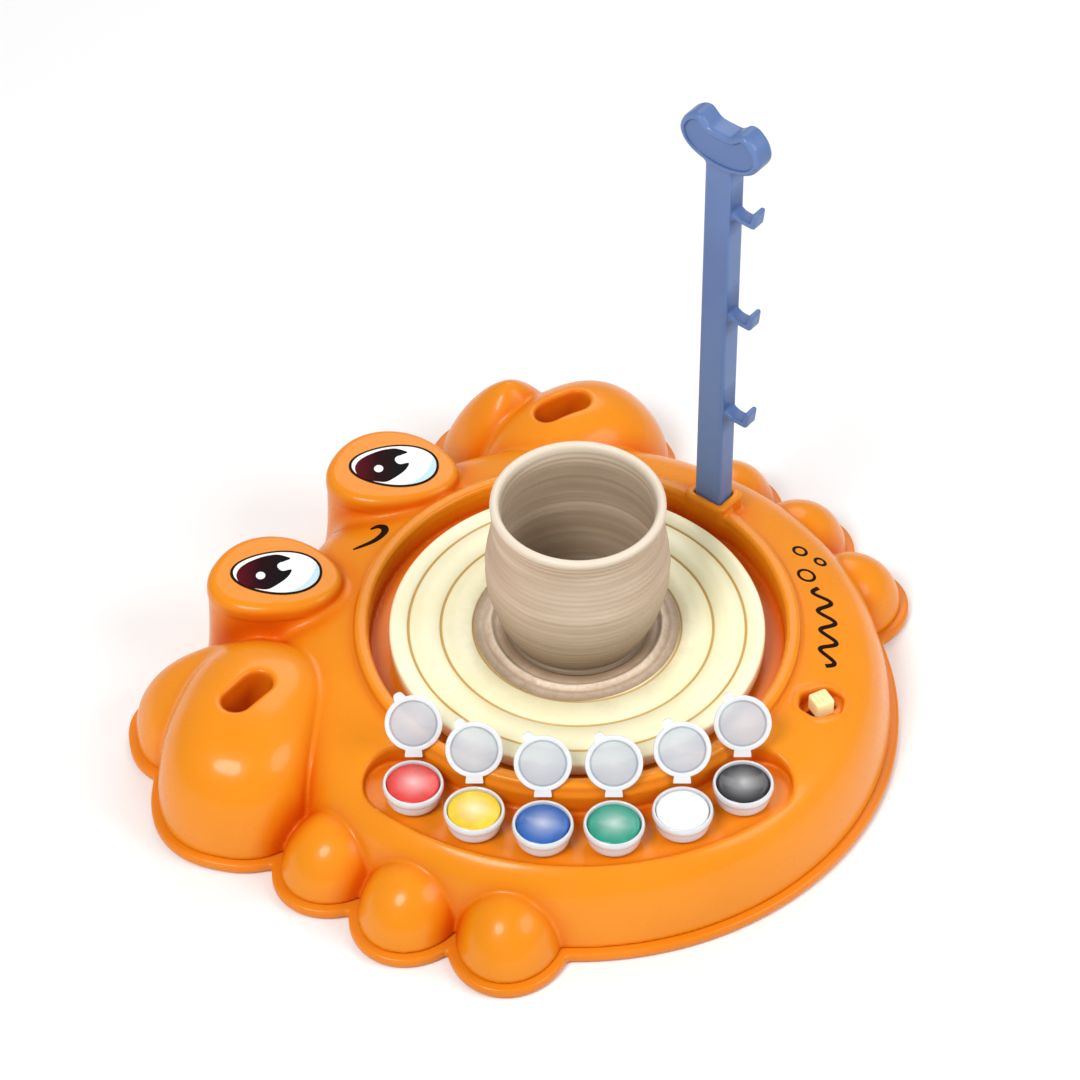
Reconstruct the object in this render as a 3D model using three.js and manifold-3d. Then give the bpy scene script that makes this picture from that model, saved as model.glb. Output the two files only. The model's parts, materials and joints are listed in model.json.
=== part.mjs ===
// Toy pottery wheel in the shape of a crab, battery driven. Millimetres, +Z up.
// The origin is on the turntable's axis at table height, and the user sits on the -Y side.
import * as THREE from "three";
import { mergeVertices } from "three/addons/utils/BufferGeometryUtils.js";
import Module from "manifold-3d";

const wasm = await Module();
wasm.setup();

// ---- Driving dimensions -------------------------------------------------

const WALL = 2.5;
const GAP = 0.3; // between touching pieces
const RUNNING = 0.06; // radial clearance of a shaft in its bearing

const FOOT_DROP = 1; // how far the feet stand out below the base
const FLOOR_TOP = FOOT_DROP + WALL;
const SEAM_Z = 5; // where the upper shell meets the base flange
const FLANGE_STANDOUT = 3.5;

const SHELL_CENTRE = new THREE.Vector2(-1, -4);
const SHELL_RADIUS = 128; // at the seam
const SHELL_SEGMENTS = 44;
// The carapace's slope from the seam to the ring, as radius and height.
const SHELL_SLOPE = [
  [128, 4], [126.8, 14], [124.6, 24], [121.5, 31.5], [117, 37], [110.5, 41],
  [102, 44], [93, 46.5], [86, 47.5],
];

const RING_OUTER = 89;
const RING_INNER = 83;
const RING_TOP = 50.6;
const RING_ROUND = 1.6;
const WELL_FLOOR = 38;

const TABLE_RADIUS = 75;
const TABLE_TOP = 48;
const TABLE_THICKNESS = 6;
const TABLE_PLATE = 3;
const GROOVES = [41.4, 54.3, 67.3];
const GROOVE_DEPTH = 0.8;
const GROOVE_WIDTH = 1.2;

// The crab looks towards -X and a little +Y; its near side is the one on the user's left.
// A lobe's power squares its flanks, its plan power squares its outline, and its tilt lowers its tip.
const LEG = { along: 25, across: 21, height: 29, power: 2.15, plan: 2, tilt: 0 };
const LEG_PLACES = [
  { radius: 128, angles: [223, 240, 258] },
  { radius: 121, angles: [59, 42, 25] },
];
const FINGERS = [
  { along: 48, across: 35, height: 51, power: 3, plan: 2.4, tilt: 0 },
  { along: 42.5, across: 32.3, height: 47.7, power: 2.2, plan: 2.3, tilt: 0 },
];
const THUMBS = [
  { along: 28, across: 24, height: 39, power: 3.2, plan: 2.4, tilt: 0.3 },
  { along: 24, across: 29.5, height: 46.5, power: 1.5, plan: 2.3, tilt: 0 },
];
const CLAWS = [
  { finger: { x: -129, y: -39, turn: 255 }, thumb: { x: -149, y: -18, turn: 190 },
    slot: { x: -130, y: -38, turn: 50 } },
  { finger: { x: -1, y: 127.3, turn: 32 }, thumb: { x: -28.4, y: 141, turn: 113 },
    slot: { x: -5.5, y: 128, turn: 26 } },
];
const CLAW_SLOT = { length: 24, width: 12, floor: 22 };

const EYES = [
  { name: "near", x: -122, y: 25 },
  { name: "far", x: -76, y: 86 },
];
const EYE = { along: 27, across: 21.5, top: 52, bead: 7, stalkInset: 1.2 };
const EYE_PRINT = { along: 18.5, across: 12.2, shift: 2 };
const PRINT_THICKNESS = 0.4;

const TRAY = { radius: 104.2, halfWidth: 13.7, halfAngle: 42, floor: 37 };
const CUP_RADIUS = 105; // of the circle the cups stand on
const CUP_STEP = 15; // degrees between cups
const CUP = { radius: 12, foot: 10, height: 10, wall: 1.2, segments: 16 };
const PAINTS = [
  { name: "red", color: 0xe0302a },
  { name: "yellow", color: 0xf5cb18 },
  { name: "blue", color: 0x1c5aad },
  { name: "green", color: 0x189b80 },
  { name: "white", color: 0xf4f4f2 },
  { name: "black", color: 0x232023 },
];
const LID = { radius: 11.3, thickness: 1.4, rim: 1.6, strap: 7, reach: 12.9, lift: 0.8, open: 122 };

const SWITCH = { x: 96, y: -38, turn: 28, length: 21, width: 12, floor: 39.5, knob: 8, top: 47 };

const POST = { radius: 88.9, angle: 51, width: 12.5, depth: 9, bottom: 40, top: 238 };
const POST_SOCKET = { width: 19.5, depth: 16, top: 54, floor: 37, clearance: 0.35 };
const HOOK = { first: 102, step: 53, reach: 11, rise: 8.5, width: 6, thickness: 2.4 };
const HEAD = { middle: 242.5, depth: 10, round: 1.6, rim: 2.4, recess: 1 };
// One half of the head's face from its chin, as distances sideways and up from its middle.
const HEAD_HALF = [
  [0, -10.8], [9.5, -9.4], [16, -5.8], [19, 0], [17.4, 6], [13.4, 9.9], [9.6, 10.6], [6.8, 8.4],
  [4.6, 6.9], [0, 6.6],
];

const POT = { height: 69.5, wall: 4, lip: 34.8, neck: 33.8, belly: 36.8, foot: 29 };

const OUTPUT_GEAR = { teeth: 48, module: 1.25, low: 24, high: 30 };
const IDLER_SMALL = { teeth: 12, module: 1.25, low: 23.4, high: 31 };
const IDLER_BIG = { teeth: 40, module: 0.7, low: 31, high: 34 };
const PINION = { teeth: 10, module: 0.7, low: 30.4, high: 34.4 };
const TRAIN_ANGLE = 200; // degrees from +X to the idler and the motor
const SPINDLE_RADIUS = 2.5;
const AXLE_RADIUS = 1.5;
const MOTOR = { radius: 10, low: 4.5, high: 29.3, flat: 7.6 };
const FRAME_PLATE = { low: 19.8, high: 22.4 };

const CELL = { radius: 7.1, length: 49, nub: 2.6, pitch: 15 };
const BAY = { x: 0, y: 63, width: 64, length: 57, top: 20 };
const DOOR = { width: 60, length: 53 };

const COLORS = {
  shell: 0xf5921e, base: 0xf08a1c, cream: 0xfff6c4, knob: 0xfaf0be, post: 0x5f78aa, clay: 0xb29a80,
  cup: 0xdfe4e8, lid: 0xe6ecf0, ink: 0x14100f, eye: 0xf6f8fb, rubber: 0x2b2b2b, steel: 0xb9bcc0,
  nylon: 0xf0efe6, cell: 0x2f3a44, copper: 0xd9c26a, red: 0xc02020, black: 0x222222, dark: 0x33363a,
};

const deg = THREE.MathUtils.degToRad;

// ---- Solids -------------------------------------------------------------

function solidOf(geometry) {
  const bare = geometry.index ? geometry.toNonIndexed() : geometry.clone();
  bare.deleteAttribute("normal");
  bare.deleteAttribute("uv");
  const merged = mergeVertices(bare, 1e-4);
  return new wasm.Manifold(new wasm.Mesh({
    numProp: 3,
    vertProperties: merged.attributes.position.array,
    triVerts: new Uint32Array(merged.index.array),
  }));
}

function geometryOf(solid) {
  const mesh = solid.getMesh();
  const geometry = new THREE.BufferGeometry();
  geometry.setAttribute("position", new THREE.BufferAttribute(new Float32Array(mesh.vertProperties), 3));
  geometry.setIndex(new THREE.BufferAttribute(new Uint32Array(mesh.triVerts), 1));
  geometry.computeVertexNormals();
  return geometry;
}

function join(solids) {
  return solids.reduce((sum, solid) => sum.add(solid));
}

function cut(solid, ...tools) {
  return tools.reduce((left, tool) => left.subtract(tool), solid);
}

// A profile of [radius, height] pairs, listed upwards on the outside, turned about the Z axis.
function revolve(profile, segments = 48) {
  const points = profile.map(([radius, height]) => new THREE.Vector2(radius, height));
  return new THREE.LatheGeometry(points, segments).rotateX(Math.PI / 2);
}

function disc(radius, low, high, segments = 20) {
  return revolve([[0, low], [radius, low], [radius, high], [0, high]], segments);
}

function prism(shape, low, high, curveSegments = 10) {
  const options = { depth: high - low, bevelEnabled: false, curveSegments };
  return new THREE.ExtrudeGeometry(shape, options).translate(0, 0, low);
}

// A prism whose two end faces are rounded over, inside the given heights and outline.
function beadedPrism(shape, low, high, round, steps = 2, curveSegments = 3) {
  const options = {
    depth: high - low - 2 * round,
    bevelThickness: round,
    bevelSize: round,
    bevelOffset: -round,
    bevelSegments: steps,
    curveSegments,
  };
  return new THREE.ExtrudeGeometry(shape, options).translate(0, 0, low + round);
}

function block(width, length, low, high) {
  return new THREE.BoxGeometry(width, length, high - low).translate(0, 0, (low + high) / 2);
}

// A closed outline from a function of the angle that gives [x, y].
function outline(pointAt, count = 40) {
  const points = [];
  for (let i = 0; i < count; i++) {
    points.push(new THREE.Vector2(...pointAt((2 * Math.PI * i) / count)));
  }
  return new THREE.Shape(points);
}

function roundedBox(width, length, corner) {
  const shape = new THREE.Shape();
  const x = width / 2 - corner;
  const y = length / 2 - corner;
  shape.absarc(x, y, corner, 0, Math.PI / 2);
  shape.absarc(-x, y, corner, Math.PI / 2, Math.PI);
  shape.absarc(-x, -y, corner, Math.PI, 1.5 * Math.PI);
  shape.absarc(x, -y, corner, 1.5 * Math.PI, 2 * Math.PI);
  return shape;
}

// A ribbon of even width along a smooth curve through the points, with round ends.
function ribbon(points, width, steps = 12) {
  const curve = new THREE.SplineCurve(points.map(([x, y]) => new THREE.Vector2(x, y)));
  const left = [];
  const right = [];
  for (let i = 0; i <= steps; i++) {
    const at = curve.getPoint(i / steps);
    const along = curve.getTangent(i / steps);
    const taper = 0.35 + 0.65 * Math.sin((Math.PI * (i + 1.5)) / (steps + 3));
    const side = new THREE.Vector2(-along.y, along.x).multiplyScalar((width / 2) * taper);
    left.push(at.clone().add(side));
    right.unshift(at.clone().sub(side));
  }
  return new THREE.Shape([...left, ...right]);
}

function place(geometry, x, y, turn = 0) {
  return geometry.rotateZ(deg(turn)).translate(x, y, 0);
}

function polar(radius, angle) {
  return [radius * Math.cos(deg(angle)), radius * Math.sin(deg(angle))];
}

function makeMesh(name, shape, color, roughness = 0.4, metalness = 0) {
  const geometry = shape.isBufferGeometry ? shape : geometryOf(shape);
  const material = new THREE.MeshStandardMaterial({ color, roughness, metalness });
  const mesh = new THREE.Mesh(geometry, material);
  mesh.name = name;
  return mesh;
}

// ---- Crab body ----------------------------------------------------------

// A point on an oval whose sides fill out towards a rectangle as the plan power rises above 2.
function ovalPoint(angle, along, across, plan) {
  const c = Math.cos(angle);
  const s = Math.sin(angle);
  const fill = (Math.abs(c) ** plan + Math.abs(s) ** plan) ** (-1 / plan);
  return [along * fill * c, across * fill * s];
}

function dome({ along, across, height, power, plan, tilt }, inset = 0) {
  const segments = inset ? 10 : 18;
  const rows = inset ? 3 : 4;
  const profile = [[0, 0]];
  for (let i = 0; i <= rows; i++) {
    const t = (i / rows) * (Math.PI / 2);
    const out = i === rows ? 0 : Math.cos(t) ** (2 / power);
    profile.push([out, Math.sin(t) ** (2 / power)]);
  }
  const geometry = revolve(profile, segments);
  const points = geometry.getAttribute("position");
  for (let i = 0; i < points.count; i++) {
    const out = Math.hypot(points.getX(i), points.getY(i));
    const angle = Math.atan2(points.getY(i), points.getX(i));
    const [u, v] = ovalPoint(angle, along - inset, across - inset, plan);
    const lean = 1 - (tilt * u * out) / along;
    points.setXYZ(i, u * out, v * out, points.getZ(i) * (height - inset) * lean);
  }
  return geometry;
}

// Every leg and claw finger: its dome, its middle and the direction it points.
function lobes() {
  const legs = LEG_PLACES.flatMap(({ radius, angles }) => angles.map((angle) => {
    const [x, y] = polar(radius, angle);
    return { size: LEG, x, y, turn: angle };
  }));
  const fingers = CLAWS.map(({ finger }, i) => ({ size: FINGERS[i], ...finger }));
  const thumbs = CLAWS.map(({ thumb }, i) => ({ size: THUMBS[i], ...thumb }));
  return [...legs, ...fingers, ...thumbs];
}

function lobeDomes(inset) {
  return lobes().map(({ size, x, y, turn }) => place(dome(size, inset), x, y, turn));
}

function clawSlots(grow, low, high) {
  return CLAWS.map(({ slot }) => {
    const width = CLAW_SLOT.width + 2 * grow;
    const shape = roundedBox(CLAW_SLOT.length + 2 * grow, width, width / 2 - 0.01);
    return place(prism(shape, low, high, grow ? 3 : 5), slot.x, slot.y, slot.turn);
  });
}

// The eye's plan: an egg with three soft corners.
function eggOutline(along, across, bulge = 0.05, turn = 100, count = 22) {
  return outline((t) => {
    const swell = 1 + bulge * Math.cos(3 * (t - deg(turn)));
    return [along * swell * Math.cos(t), across * swell * Math.sin(t)];
  }, count);
}

function eyeStalks(inset) {
  return EYES.map(({ x, y }) => {
    const shrink = EYE.stalkInset + inset;
    const shape = eggOutline(EYE.along - shrink, EYE.across - shrink, 0.05, 100, inset ? 12 : 22);
    return place(prism(shape, 0, EYE.top - EYE.bead / 2 - inset), x, y);
  });
}

function eyePlates() {
  const shape = eggOutline(EYE.along, EYE.across);
  const plate = () => beadedPrism(shape, EYE.top - EYE.bead, EYE.top, EYE.bead / 2 - 0.2);
  return EYES.map(({ x, y }) => place(plate(), x, y));
}

function carapace(inset, low) {
  const points = inset ? SHELL_SLOPE.filter((point, i) => i % 2 === 0) : SHELL_SLOPE;
  const slope = points.map(([radius, height]) => [radius - inset, height - inset]);
  const profile = [[0, low], [slope[0][0], low], ...slope, [0, slope.at(-1)[1]]];
  return place(revolve(profile, inset ? 24 : SHELL_SEGMENTS), SHELL_CENTRE.x, SHELL_CENTRE.y);
}

function ring() {
  const bottom = WELL_FLOOR;
  const shoulder = RING_TOP - RING_ROUND;
  const profile = [
    [RING_OUTER, bottom], [RING_OUTER, shoulder], [RING_OUTER - RING_ROUND, RING_TOP],
    [RING_INNER + RING_ROUND, RING_TOP], [RING_INNER, shoulder], [RING_INNER, bottom],
    [RING_OUTER, bottom],
  ];
  return revolve(profile, SHELL_SEGMENTS);
}

// The paint tray's plan: an arc with round ends, in front of the ring.
function trayShape(grow) {
  const shape = new THREE.Shape();
  const half = TRAY.halfWidth + grow;
  const from = deg(270 - TRAY.halfAngle);
  const to = deg(270 + TRAY.halfAngle);
  const end = (angle) => [TRAY.radius * Math.cos(angle), TRAY.radius * Math.sin(angle)];
  shape.absarc(0, 0, TRAY.radius + half, from, to);
  shape.absarc(...end(to), half, to, to + Math.PI);
  shape.absarc(0, 0, TRAY.radius - half, to, from, true);
  shape.absarc(...end(from), half, from + Math.PI, from + 2 * Math.PI);
  return shape;
}

function switchHexagon(grow) {
  const half = SWITCH.length / 2 + grow * 1.3;
  const side = SWITCH.width / 2 + grow;
  const flat = half - side * 0.75;
  return new THREE.Shape([
    [half, 0], [flat, side], [-flat, side], [-half, 0], [-flat, -side], [flat, -side],
  ].map(([x, y]) => new THREE.Vector2(x, y)));
}

function atSwitch(geometry) {
  return place(geometry, SWITCH.x, SWITCH.y, SWITCH.turn);
}

// The post's own frame has x along the ring and y outwards.
function atPost(geometry) {
  return place(geometry, ...polar(POST.radius, POST.angle), POST.angle - 90);
}

const SCREW_ANGLES = [0, 68, 105, 165, 240, 285];
const SCREW_CIRCLE = 108;
const SCREW = { head: 3.6, shank: 1.5, headHeight: 0.6, tip: 21 };
const BOSS_RADIUS = 4.5;

function atScrews(makeGeometry) {
  return SCREW_ANGLES.map((angle) => place(makeGeometry(), ...polar(SCREW_CIRCLE, angle)));
}

function shellOuter() {
  const parts = [
    carapace(0, 0), ...lobeDomes(0), ...eyeStalks(0), ...eyePlates(),
  ];
  return join(parts.map(solidOf));
}

function shellCavity() {
  const roof = join([
    carapace(WALL, -1), ...lobeDomes(WALL), ...eyeStalks(WALL),
  ].map(solidOf));
  const wellBlock = disc(RING_OUTER, WELL_FLOOR - WALL, 60, 24);
  const trayBlock = prism(trayShape(WALL), TRAY.floor - WALL, 60, 4);
  const switchBlock = atSwitch(prism(switchHexagon(WALL), SWITCH.floor - WALL, 60));
  const socket = atPost(block(POST_SOCKET.width, POST_SOCKET.depth, POST_SOCKET.floor - WALL, 60));
  const slotBlocks = clawSlots(WALL, CLAW_SLOT.floor - WALL, 60);
  const bosses = atScrews(() => disc(BOSS_RADIUS, SEAM_Z + GAP, 60, 8));
  const keep = [wellBlock, trayBlock, switchBlock, socket, ...slotBlocks, ...bosses];
  return cut(roof, ...keep.map(solidOf));
}

function upperShell() {
  const socketCollar = beadedPrism(
    roundedBox(POST_SOCKET.width, POST_SOCKET.depth, 2.5), WELL_FLOOR, POST_SOCKET.top, 1);
  const body = join([shellOuter(), solidOf(ring()), solidOf(atPost(socketCollar))]);
  const hole = POST_SOCKET.clearance * 2;
  const cuts = [
    disc(RING_INNER, WELL_FLOOR, 70, SHELL_SEGMENTS),
    prism(trayShape(0), TRAY.floor, 70, 7),
    ...clawSlots(0, CLAW_SLOT.floor, 70),
    atSwitch(prism(switchHexagon(0), SWITCH.floor, 70)),
    atSwitch(block(12, 4, SWITCH.floor - 2 * WALL, 70)),
    atPost(block(POST.width + hole, POST.depth + hole, POST_SOCKET.floor, 70)),
    block(400, 400, -10, SEAM_Z + GAP),
    disc(6 + RUNNING, 20, 70, 20),
    ...atScrews(() => disc(SCREW.shank + GAP, -1, SCREW.tip + 1, 8)),
  ];
  return cut(cut(body, shellCavity()), ...cuts.map(solidOf));
}

// The base's plan: the carapace, legs, claws and eyes, each grown into a flange.
function basePlan(low, high, grow) {
  const pieces = [place(disc(SHELL_RADIUS + grow, low, high, SHELL_SEGMENTS), SHELL_CENTRE.x,
    SHELL_CENTRE.y)];
  for (const { size, x, y, turn } of lobes()) {
    const oval = outline((t) => ovalPoint(t, size.along + grow, size.across + grow, size.plan), 24);
    pieces.push(place(prism(oval, low, high), x, y, turn));
  }
  const egg = eggOutline(EYE.along - EYE.stalkInset + grow, EYE.across - EYE.stalkInset + grow);
  for (const { x, y } of EYES) {
    pieces.push(place(prism(egg, low, high), x, y));
  }
  return join(pieces.map(solidOf));
}

const FOOT = { radius: 8, height: 2.3 };
const FOOT_ANGLES = [35, 130, 215, 305];
const FOOT_CIRCLE = 100;

function footPlaces() {
  return [[0, 0], ...FOOT_ANGLES.map((angle) => polar(FOOT_CIRCLE, angle))];
}

function inBay(geometry) {
  return geometry.translate(BAY.x, BAY.y, 0);
}

function lowerShell() {
  const pan = basePlan(FOOT_DROP, SEAM_Z, FLANGE_STANDOUT);
  const inside = [place(disc(SHELL_RADIUS - 2 * WALL, FLOOR_TOP, SEAM_Z + 1, SHELL_SEGMENTS),
    SHELL_CENTRE.x, SHELL_CENTRE.y)];
  const bayWall = [
    block(BAY.width + 2 * WALL, BAY.length + 2 * WALL, FLOOR_TOP - 0.5, BAY.top),
  ].map(inBay);
  const spindleBoss = disc(7, FLOOR_TOP - 0.5, 10);
  const frameBosses = FRAME_POSTS.map(([x, y]) => place(disc(3.5, FLOOR_TOP - 0.5, 8, 8), x, y));
  const body = join([
    cut(pan, ...inside.map(solidOf)),
    ...bayWall.map(solidOf), solidOf(spindleBoss), ...frameBosses.map(solidOf),
  ]);
  const cuts = [
    inBay(block(BAY.width, BAY.length, FLOOR_TOP, 40)),
    disc(SPINDLE_RADIUS + RUNNING, 3.6, 12, 20),
    ...footPlaces().map(([x, y]) => place(disc(FOOT.radius + GAP, 0, FOOT.height + 0.2, 16), x, y)),
    ...atScrews(() => disc(SCREW.shank + GAP, 0, 10, 8)),
    ...atScrews(() => disc(SCREW.head + 2 * GAP, 0, FOOT_DROP + 1, 8)),
    ...FRAME_POSTS.map(([x, y]) => place(disc(1.3, 4, 9, 6), x, y)),
  ];
  const tabBoss = place(disc(4, FLOOR_TOP - 0.5, 9, 10), BAY.x, DOOR_SCREW.y);
  const tabHole = place(disc(DOOR_SCREW.shank + GAP, 0, DOOR_SCREW.tip + 0.5, 8), BAY.x, DOOR_SCREW.y);
  const whole = body.add(solidOf(tabBoss));
  return cut(whole, ...cuts.map(solidOf), doorBlocks(GAP, 0, 3 + GAP), solidOf(tabHole));
}

const DOOR_SCREW = { y: BAY.y + BAY.length / 2 + 6, tab: 12, head: 2.8, shank: 1.2, tip: 8 };

// The door's plan: a plate with a tab that takes the screw.
function doorBlocks(grow, low, high) {
  const plate = inBay(block(DOOR.width + 2 * grow, DOOR.length + 2 * grow, low, high));
  const tabLength = DOOR_SCREW.y + 5 - BAY.y;
  const tab = block(DOOR_SCREW.tab + 2 * grow, tabLength + grow, low, high);
  return solidOf(plate).add(solidOf(inBay(tab.translate(0, (tabLength + grow) / 2, 0))));
}

function batteryDoor() {
  const grip = (offset) => inBay(block(18, 1.2, 0, FOOT_DROP + 0.6).translate(0, offset, 0));
  const shankHole = place(disc(DOOR_SCREW.shank + GAP, 0, 5, 8), BAY.x, DOOR_SCREW.y);
  const headHole = place(disc(DOOR_SCREW.head + GAP, 0, FOOT_DROP + 1, 10), BAY.x, DOOR_SCREW.y);
  const grips = [-22, -19.5, -17].map((offset) => solidOf(grip(offset)));
  return cut(doorBlocks(0, FOOT_DROP, 3), ...grips, solidOf(shankHole), solidOf(headHole));
}

function screw(head, shank, headHeight, low, tip) {
  return revolve([[0, low], [head, low], [head, low + headHeight], [shank, low + headHeight],
    [shank, tip - 1.5], [0, tip]], 10);
}

function addShell(group) {
  group.add(makeMesh("upper_shell", upperShell(), COLORS.shell, 0.28));
  group.add(makeMesh("lower_shell", lowerShell(), COLORS.base, 0.35));
  group.add(makeMesh("battery_door", batteryDoor(), COLORS.base, 0.4));
  const doorScrew = makeMesh("battery_door_screw",
    screw(DOOR_SCREW.head, DOOR_SCREW.shank, 0.6, FOOT_DROP + 0.2, DOOR_SCREW.tip), COLORS.steel,
    0.3, 1);
  doorScrew.position.set(BAY.x, DOOR_SCREW.y, 0);
  group.add(doorScrew);
  SCREW_ANGLES.forEach((angle, i) => {
    const piece = makeMesh(`shell_screw_${i + 1}`,
      screw(SCREW.head, SCREW.shank, SCREW.headHeight, FOOT_DROP + 0.2, SCREW.tip), COLORS.steel,
      0.3, 1);
    piece.position.set(...polar(SCREW_CIRCLE, angle), 0);
    group.add(piece);
  });
  footPlaces().forEach(([x, y], i) => {
    const foot = revolve([[0, 0], [FOOT.radius - 0.5, 0], [FOOT.radius, 0.5],
      [FOOT.radius, FOOT.height], [0, FOOT.height]], 16);
    const piece = makeMesh(i ? `foot_${i}` : "foot_centre", foot, COLORS.rubber, 0.9);
    piece.position.set(x, y, 0);
    group.add(piece);
  });
}

// ---- Printed marks ------------------------------------------------------

// A thin layer that follows the carapace just above its surface, cut to the mark's outline.
function printOnShell(shape) {
  const lift = (height) => solidOf(carapace(0, 0).translate(0, 0, height));
  const layer = cut(lift(0.1 + PRINT_THICKNESS), lift(0.1));
  return layer.intersect(solidOf(prism(shape, 20, 60)));
}

// A wave along an arc round the turntable's axis.
function waveShape(radius, fromAngle, toAngle, waves, swing, width) {
  const points = [];
  const steps = waves * 4;
  for (let i = 0; i <= steps; i++) {
    const share = i / steps;
    const out = radius + swing * Math.sin(2 * Math.PI * waves * share);
    points.push(polar(out, fromAngle + (toAngle - fromAngle) * share));
  }
  return ribbon(points, width, steps + 8);
}

function addPrints(group) {
  for (const { name, x, y } of EYES) {
    const egg = eggOutline(EYE_PRINT.along, EYE_PRINT.across, 0.04, 60);
    const low = EYE.top + 0.05;
    const plate = place(prism(egg, low, low + PRINT_THICKNESS), x + EYE_PRINT.shift, y);
    group.add(makeMesh(`eye_print_${name}`, plate, COLORS.eye, 0.3));
  }
  const smile = ribbon([[-90.6, 46], [-82.5, 49.2], [-78.2, 53.8], [-78.3, 57.4], [-80.8, 58.9],
    [-83.8, 57.8]], 2.2);
  group.add(makeMesh("mouth_print", printOnShell(smile), COLORS.ink, 0.5));
  const wave = waveShape(100.3, -11, 14, 4, 3.2, 2.2);
  group.add(makeMesh("wave_print", printOnShell(wave), COLORS.ink, 0.5));
}

// ---- Turntable, pot and drive -------------------------------------------

function addTurntable(group) {
  const low = TABLE_TOP - TABLE_THICKNESS;
  const under = TABLE_TOP - TABLE_PLATE;
  const profile = [
    [0, under], [TABLE_RADIUS - WALL, under], [TABLE_RADIUS - WALL, low], [TABLE_RADIUS, low],
    [TABLE_RADIUS, TABLE_TOP - 0.8], [TABLE_RADIUS - 0.8, TABLE_TOP],
  ];
  for (const radius of [...GROOVES].reverse()) {
    const half = GROOVE_WIDTH / 2;
    profile.push([radius + half, TABLE_TOP], [radius, TABLE_TOP - GROOVE_DEPTH],
      [radius - half, TABLE_TOP]);
  }
  profile.push([0, TABLE_TOP]);
  const hub = disc(9, WELL_FLOOR + 0.8, under + 0.5);
  const body = join([solidOf(revolve(profile, 48)), solidOf(hub)]);
  const bore = solidOf(disc(SPINDLE_RADIUS + GAP, 30, 44.5, 16));
  group.add(makeMesh("turntable", cut(body, bore), COLORS.cream, 0.45));

  const spindle = revolve([[0, 4], [SPINDLE_RADIUS, 4], [SPINDLE_RADIUS, 44.2], [0, 44.2]], 20);
  group.add(makeMesh("spindle", spindle, COLORS.steel, 0.25, 1));
  group.add(makeMesh("output_gear", gear(OUTPUT_GEAR, SPINDLE_RADIUS + GAP), COLORS.nylon, 0.5));
}

function addPot(group) {
  const h = POT.height;
  const outer = [
    [POT.foot - 1, 0], [POT.foot, 1.2], [28.2, 3.2], [30.6, 0.11 * h], [33.6, 0.23 * h],
    [35.8, 0.36 * h], [POT.belly, 0.5 * h], [36.2, 0.62 * h], [34.8, 0.74 * h],
    [POT.neck, 0.86 * h], [POT.lip, 0.955 * h], [POT.lip - 1.6, h],
  ];
  const inner = [
    [POT.lip - 3.2, 0.985 * h], [POT.neck - POT.wall, 0.86 * h], [POT.belly - POT.wall, 0.5 * h],
    [35.4 - POT.wall, 0.36 * h], [32.2 - POT.wall, 0.2 * h], [23, 7], [0, 6],
  ];
  const pot = makeMesh("clay_pot", revolve([[0, 0], ...outer, ...inner], 32), COLORS.clay, 0.55);
  pot.position.z = TABLE_TOP + GAP;
  group.add(pot);
}

// A spur gear with straight-flanked teeth; a tooth stands at angle 0.
function gearShape({ teeth, module }, hole) {
  const pitch = (teeth * module) / 2;
  const tip = pitch + 0.85 * module;
  const root = pitch - 1.15 * module;
  const points = [];
  for (let i = 0; i < teeth; i++) {
    const middle = (2 * Math.PI * i) / teeth;
    const step = (2 * Math.PI) / teeth;
    for (const [radius, share] of [[root, -0.34], [tip, -0.11], [tip, 0.11], [root, 0.34]]) {
      const angle = middle + share * step;
      points.push(new THREE.Vector2(radius * Math.cos(angle), radius * Math.sin(angle)));
    }
  }
  const shape = new THREE.Shape(points);
  if (hole) {
    shape.holes.push(new THREE.Path().absarc(0, 0, hole, 0, 2 * Math.PI, true));
  }
  return shape;
}

function gear(size, hole) {
  return prism(gearShape(size, hole), size.low, size.high, 8);
}

const IDLER_DISTANCE = (OUTPUT_GEAR.teeth + IDLER_SMALL.teeth) * OUTPUT_GEAR.module / 2;
const MOTOR_DISTANCE = (IDLER_BIG.teeth + PINION.teeth) * IDLER_BIG.module / 2;
const IDLER_AT = polar(IDLER_DISTANCE, TRAIN_ANGLE);
const MOTOR_AT = polar(IDLER_DISTANCE + MOTOR_DISTANCE, TRAIN_ANGLE);
const FRAME_POSTS = [[-36, -34], [-40, 12], [-14, -27]];

// The turn that puts a gap of the follower where a tooth of its mate points at it.
function meshTurn(driverTeeth, driverTurn, teeth, direction) {
  const driverPhase = ((direction - driverTurn) / 360) * driverTeeth;
  const toothShare = driverPhase - Math.floor(driverPhase);
  return direction + 180 + ((0.5 + toothShare) * 360) / teeth;
}

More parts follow.
